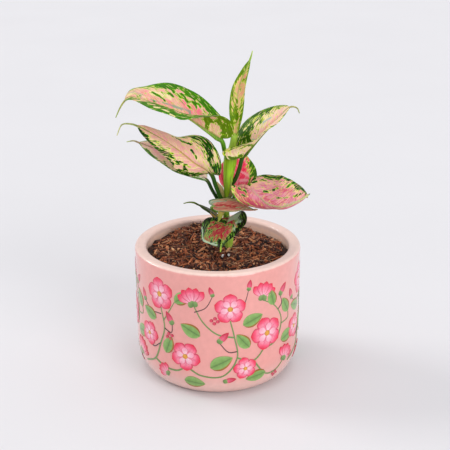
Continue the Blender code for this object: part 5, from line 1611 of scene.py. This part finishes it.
GRAINS = [((3.9, -21.2, 95.0), 1.3), ((8.4, -20.0, 95.1), 1.2)]
grain_seed = np.random.default_rng(5)
ball = bmesh.new()
for centre, radius in GRAINS:
    made = bmesh.ops.create_icosphere(ball, subdivisions=3, radius=radius * MM)["verts"]
    lumps = unit(grain_seed.normal(size=(7, 3)))
    for vert in made:
        push = max(float(lump @ np.array(vert.co.normalized())) for lump in lumps)
        vert.co = vert.co * (0.62 + 0.42 * push**3) + Vector(centre) * MM
grains = bpy.data.objects.new("perlite_grains", bpy.data.meshes.new("perlite_grains"))
ball.to_mesh(grains.data)
ball.free()
grains.data.materials.append(blown_glass())
bpy.context.scene.collection.objects.link(grains)
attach(grains, "root")
count_faces(grains)

# %% [markdown]
# ## Floor, light and camera
#
# The picture is a high-key studio shot: a pale floor without an end, one broad soft light from behind
# on the left, and so much bounced light that no shadow goes dark. A sun lamp with a wide angle gives
# the soft, even light of a big diffuser without its falloff.

# %% Colour management
# The plain display transform keeps the glaze and the leaves as saturated as they are painted
bpy.context.scene.view_settings.view_transform = "Standard"
print("view transform:", bpy.context.scene.view_settings.view_transform)


# %% Floor
def pale_floor():
    """Matt pale board with the faint mottle of a paint roller."""
    mat, tree, shader = new_material("matt_painted_board")
    place = add(tree, "ShaderNodeTexCoord").outputs["Object"]
    roller = add(tree, "ShaderNodeTexNoise", {"Vector": place, "Scale": 6.0, "Detail": 2.0})
    tone = add(tree, "ShaderNodeMix", {0: roller, 6: "#DFDFE0", 7: "#E3E3E4"}, data_type="RGBA")
    wire(tree, shader, {"Base Color": tone, "Roughness": 0.7})
    return mat


FLOOR_SIZE = 12000.0
corner = FLOOR_SIZE / 2
corners = [(-corner, -corner, 0), (corner, -corner, 0), (corner, corner, 0), (-corner, corner, 0)]
floor = mesh_object("floor", corners, [(0, 1, 2, 3)], [pale_floor()])
print("floor:", FLOOR_SIZE / 1000, "m wide")

# %% Light
world = bpy.data.worlds.new("studio")
bpy.context.scene.world = world
world.use_nodes = True
backdrop = world.node_tree.nodes["Background"]
backdrop.inputs["Color"].default_value = paint("#EBE9F0")
backdrop.inputs["Strength"].default_value = 0.6


def sun(name, strength, angle, azimuth, height):
    """A soft lamp far away, at an azimuth from +Y turning towards -X, and a height in degrees."""
    lamp = bpy.data.lights.new(name, "SUN")
    lamp.energy = strength
    lamp.angle = math.radians(angle)
    obj = bpy.data.objects.new(name, lamp)
    obj.rotation_euler = (math.radians(90 - height), 0.0, math.radians(180 + azimuth))
    bpy.context.scene.collection.objects.link(obj)


sun("key", 1.1, 25.0, 72.0, 28.0)
sun("front_fill", 1.4, 40.0, 214.0, 20.0)
sun("ceiling", 1.0, 50.0, 0.0, 89.0)
print("lamps:", ", ".join(lamp.name for lamp in bpy.data.lights))

# %% Camera
CAMERA_DISTANCE = 820.0
CAMERA_RISE = math.radians(20.84)
CAMERA_TARGET = np.array([5.33, 0.0, 110.3])
camera_data = bpy.data.cameras.new("camera")
camera_data.sensor_width = 36.0
camera_data.lens = 90.85
camera_data.clip_start = 0.01
camera_data.clip_end = 20.0
camera = bpy.data.objects.new("camera", camera_data)
place = CAMERA_TARGET + CAMERA_DISTANCE * np.array([0.0, -math.cos(CAMERA_RISE), math.sin(CAMERA_RISE)])
camera.location = (place * MM).tolist()
camera.rotation_euler = (math.pi / 2 - CAMERA_RISE, 0.0, 0.0)
bpy.context.scene.collection.objects.link(camera)
bpy.context.scene.camera = camera
print("camera:", camera_data.lens, "mm lens,", CAMERA_DISTANCE, "mm away")

# %% Finish
bpy.context.view_layer.update()
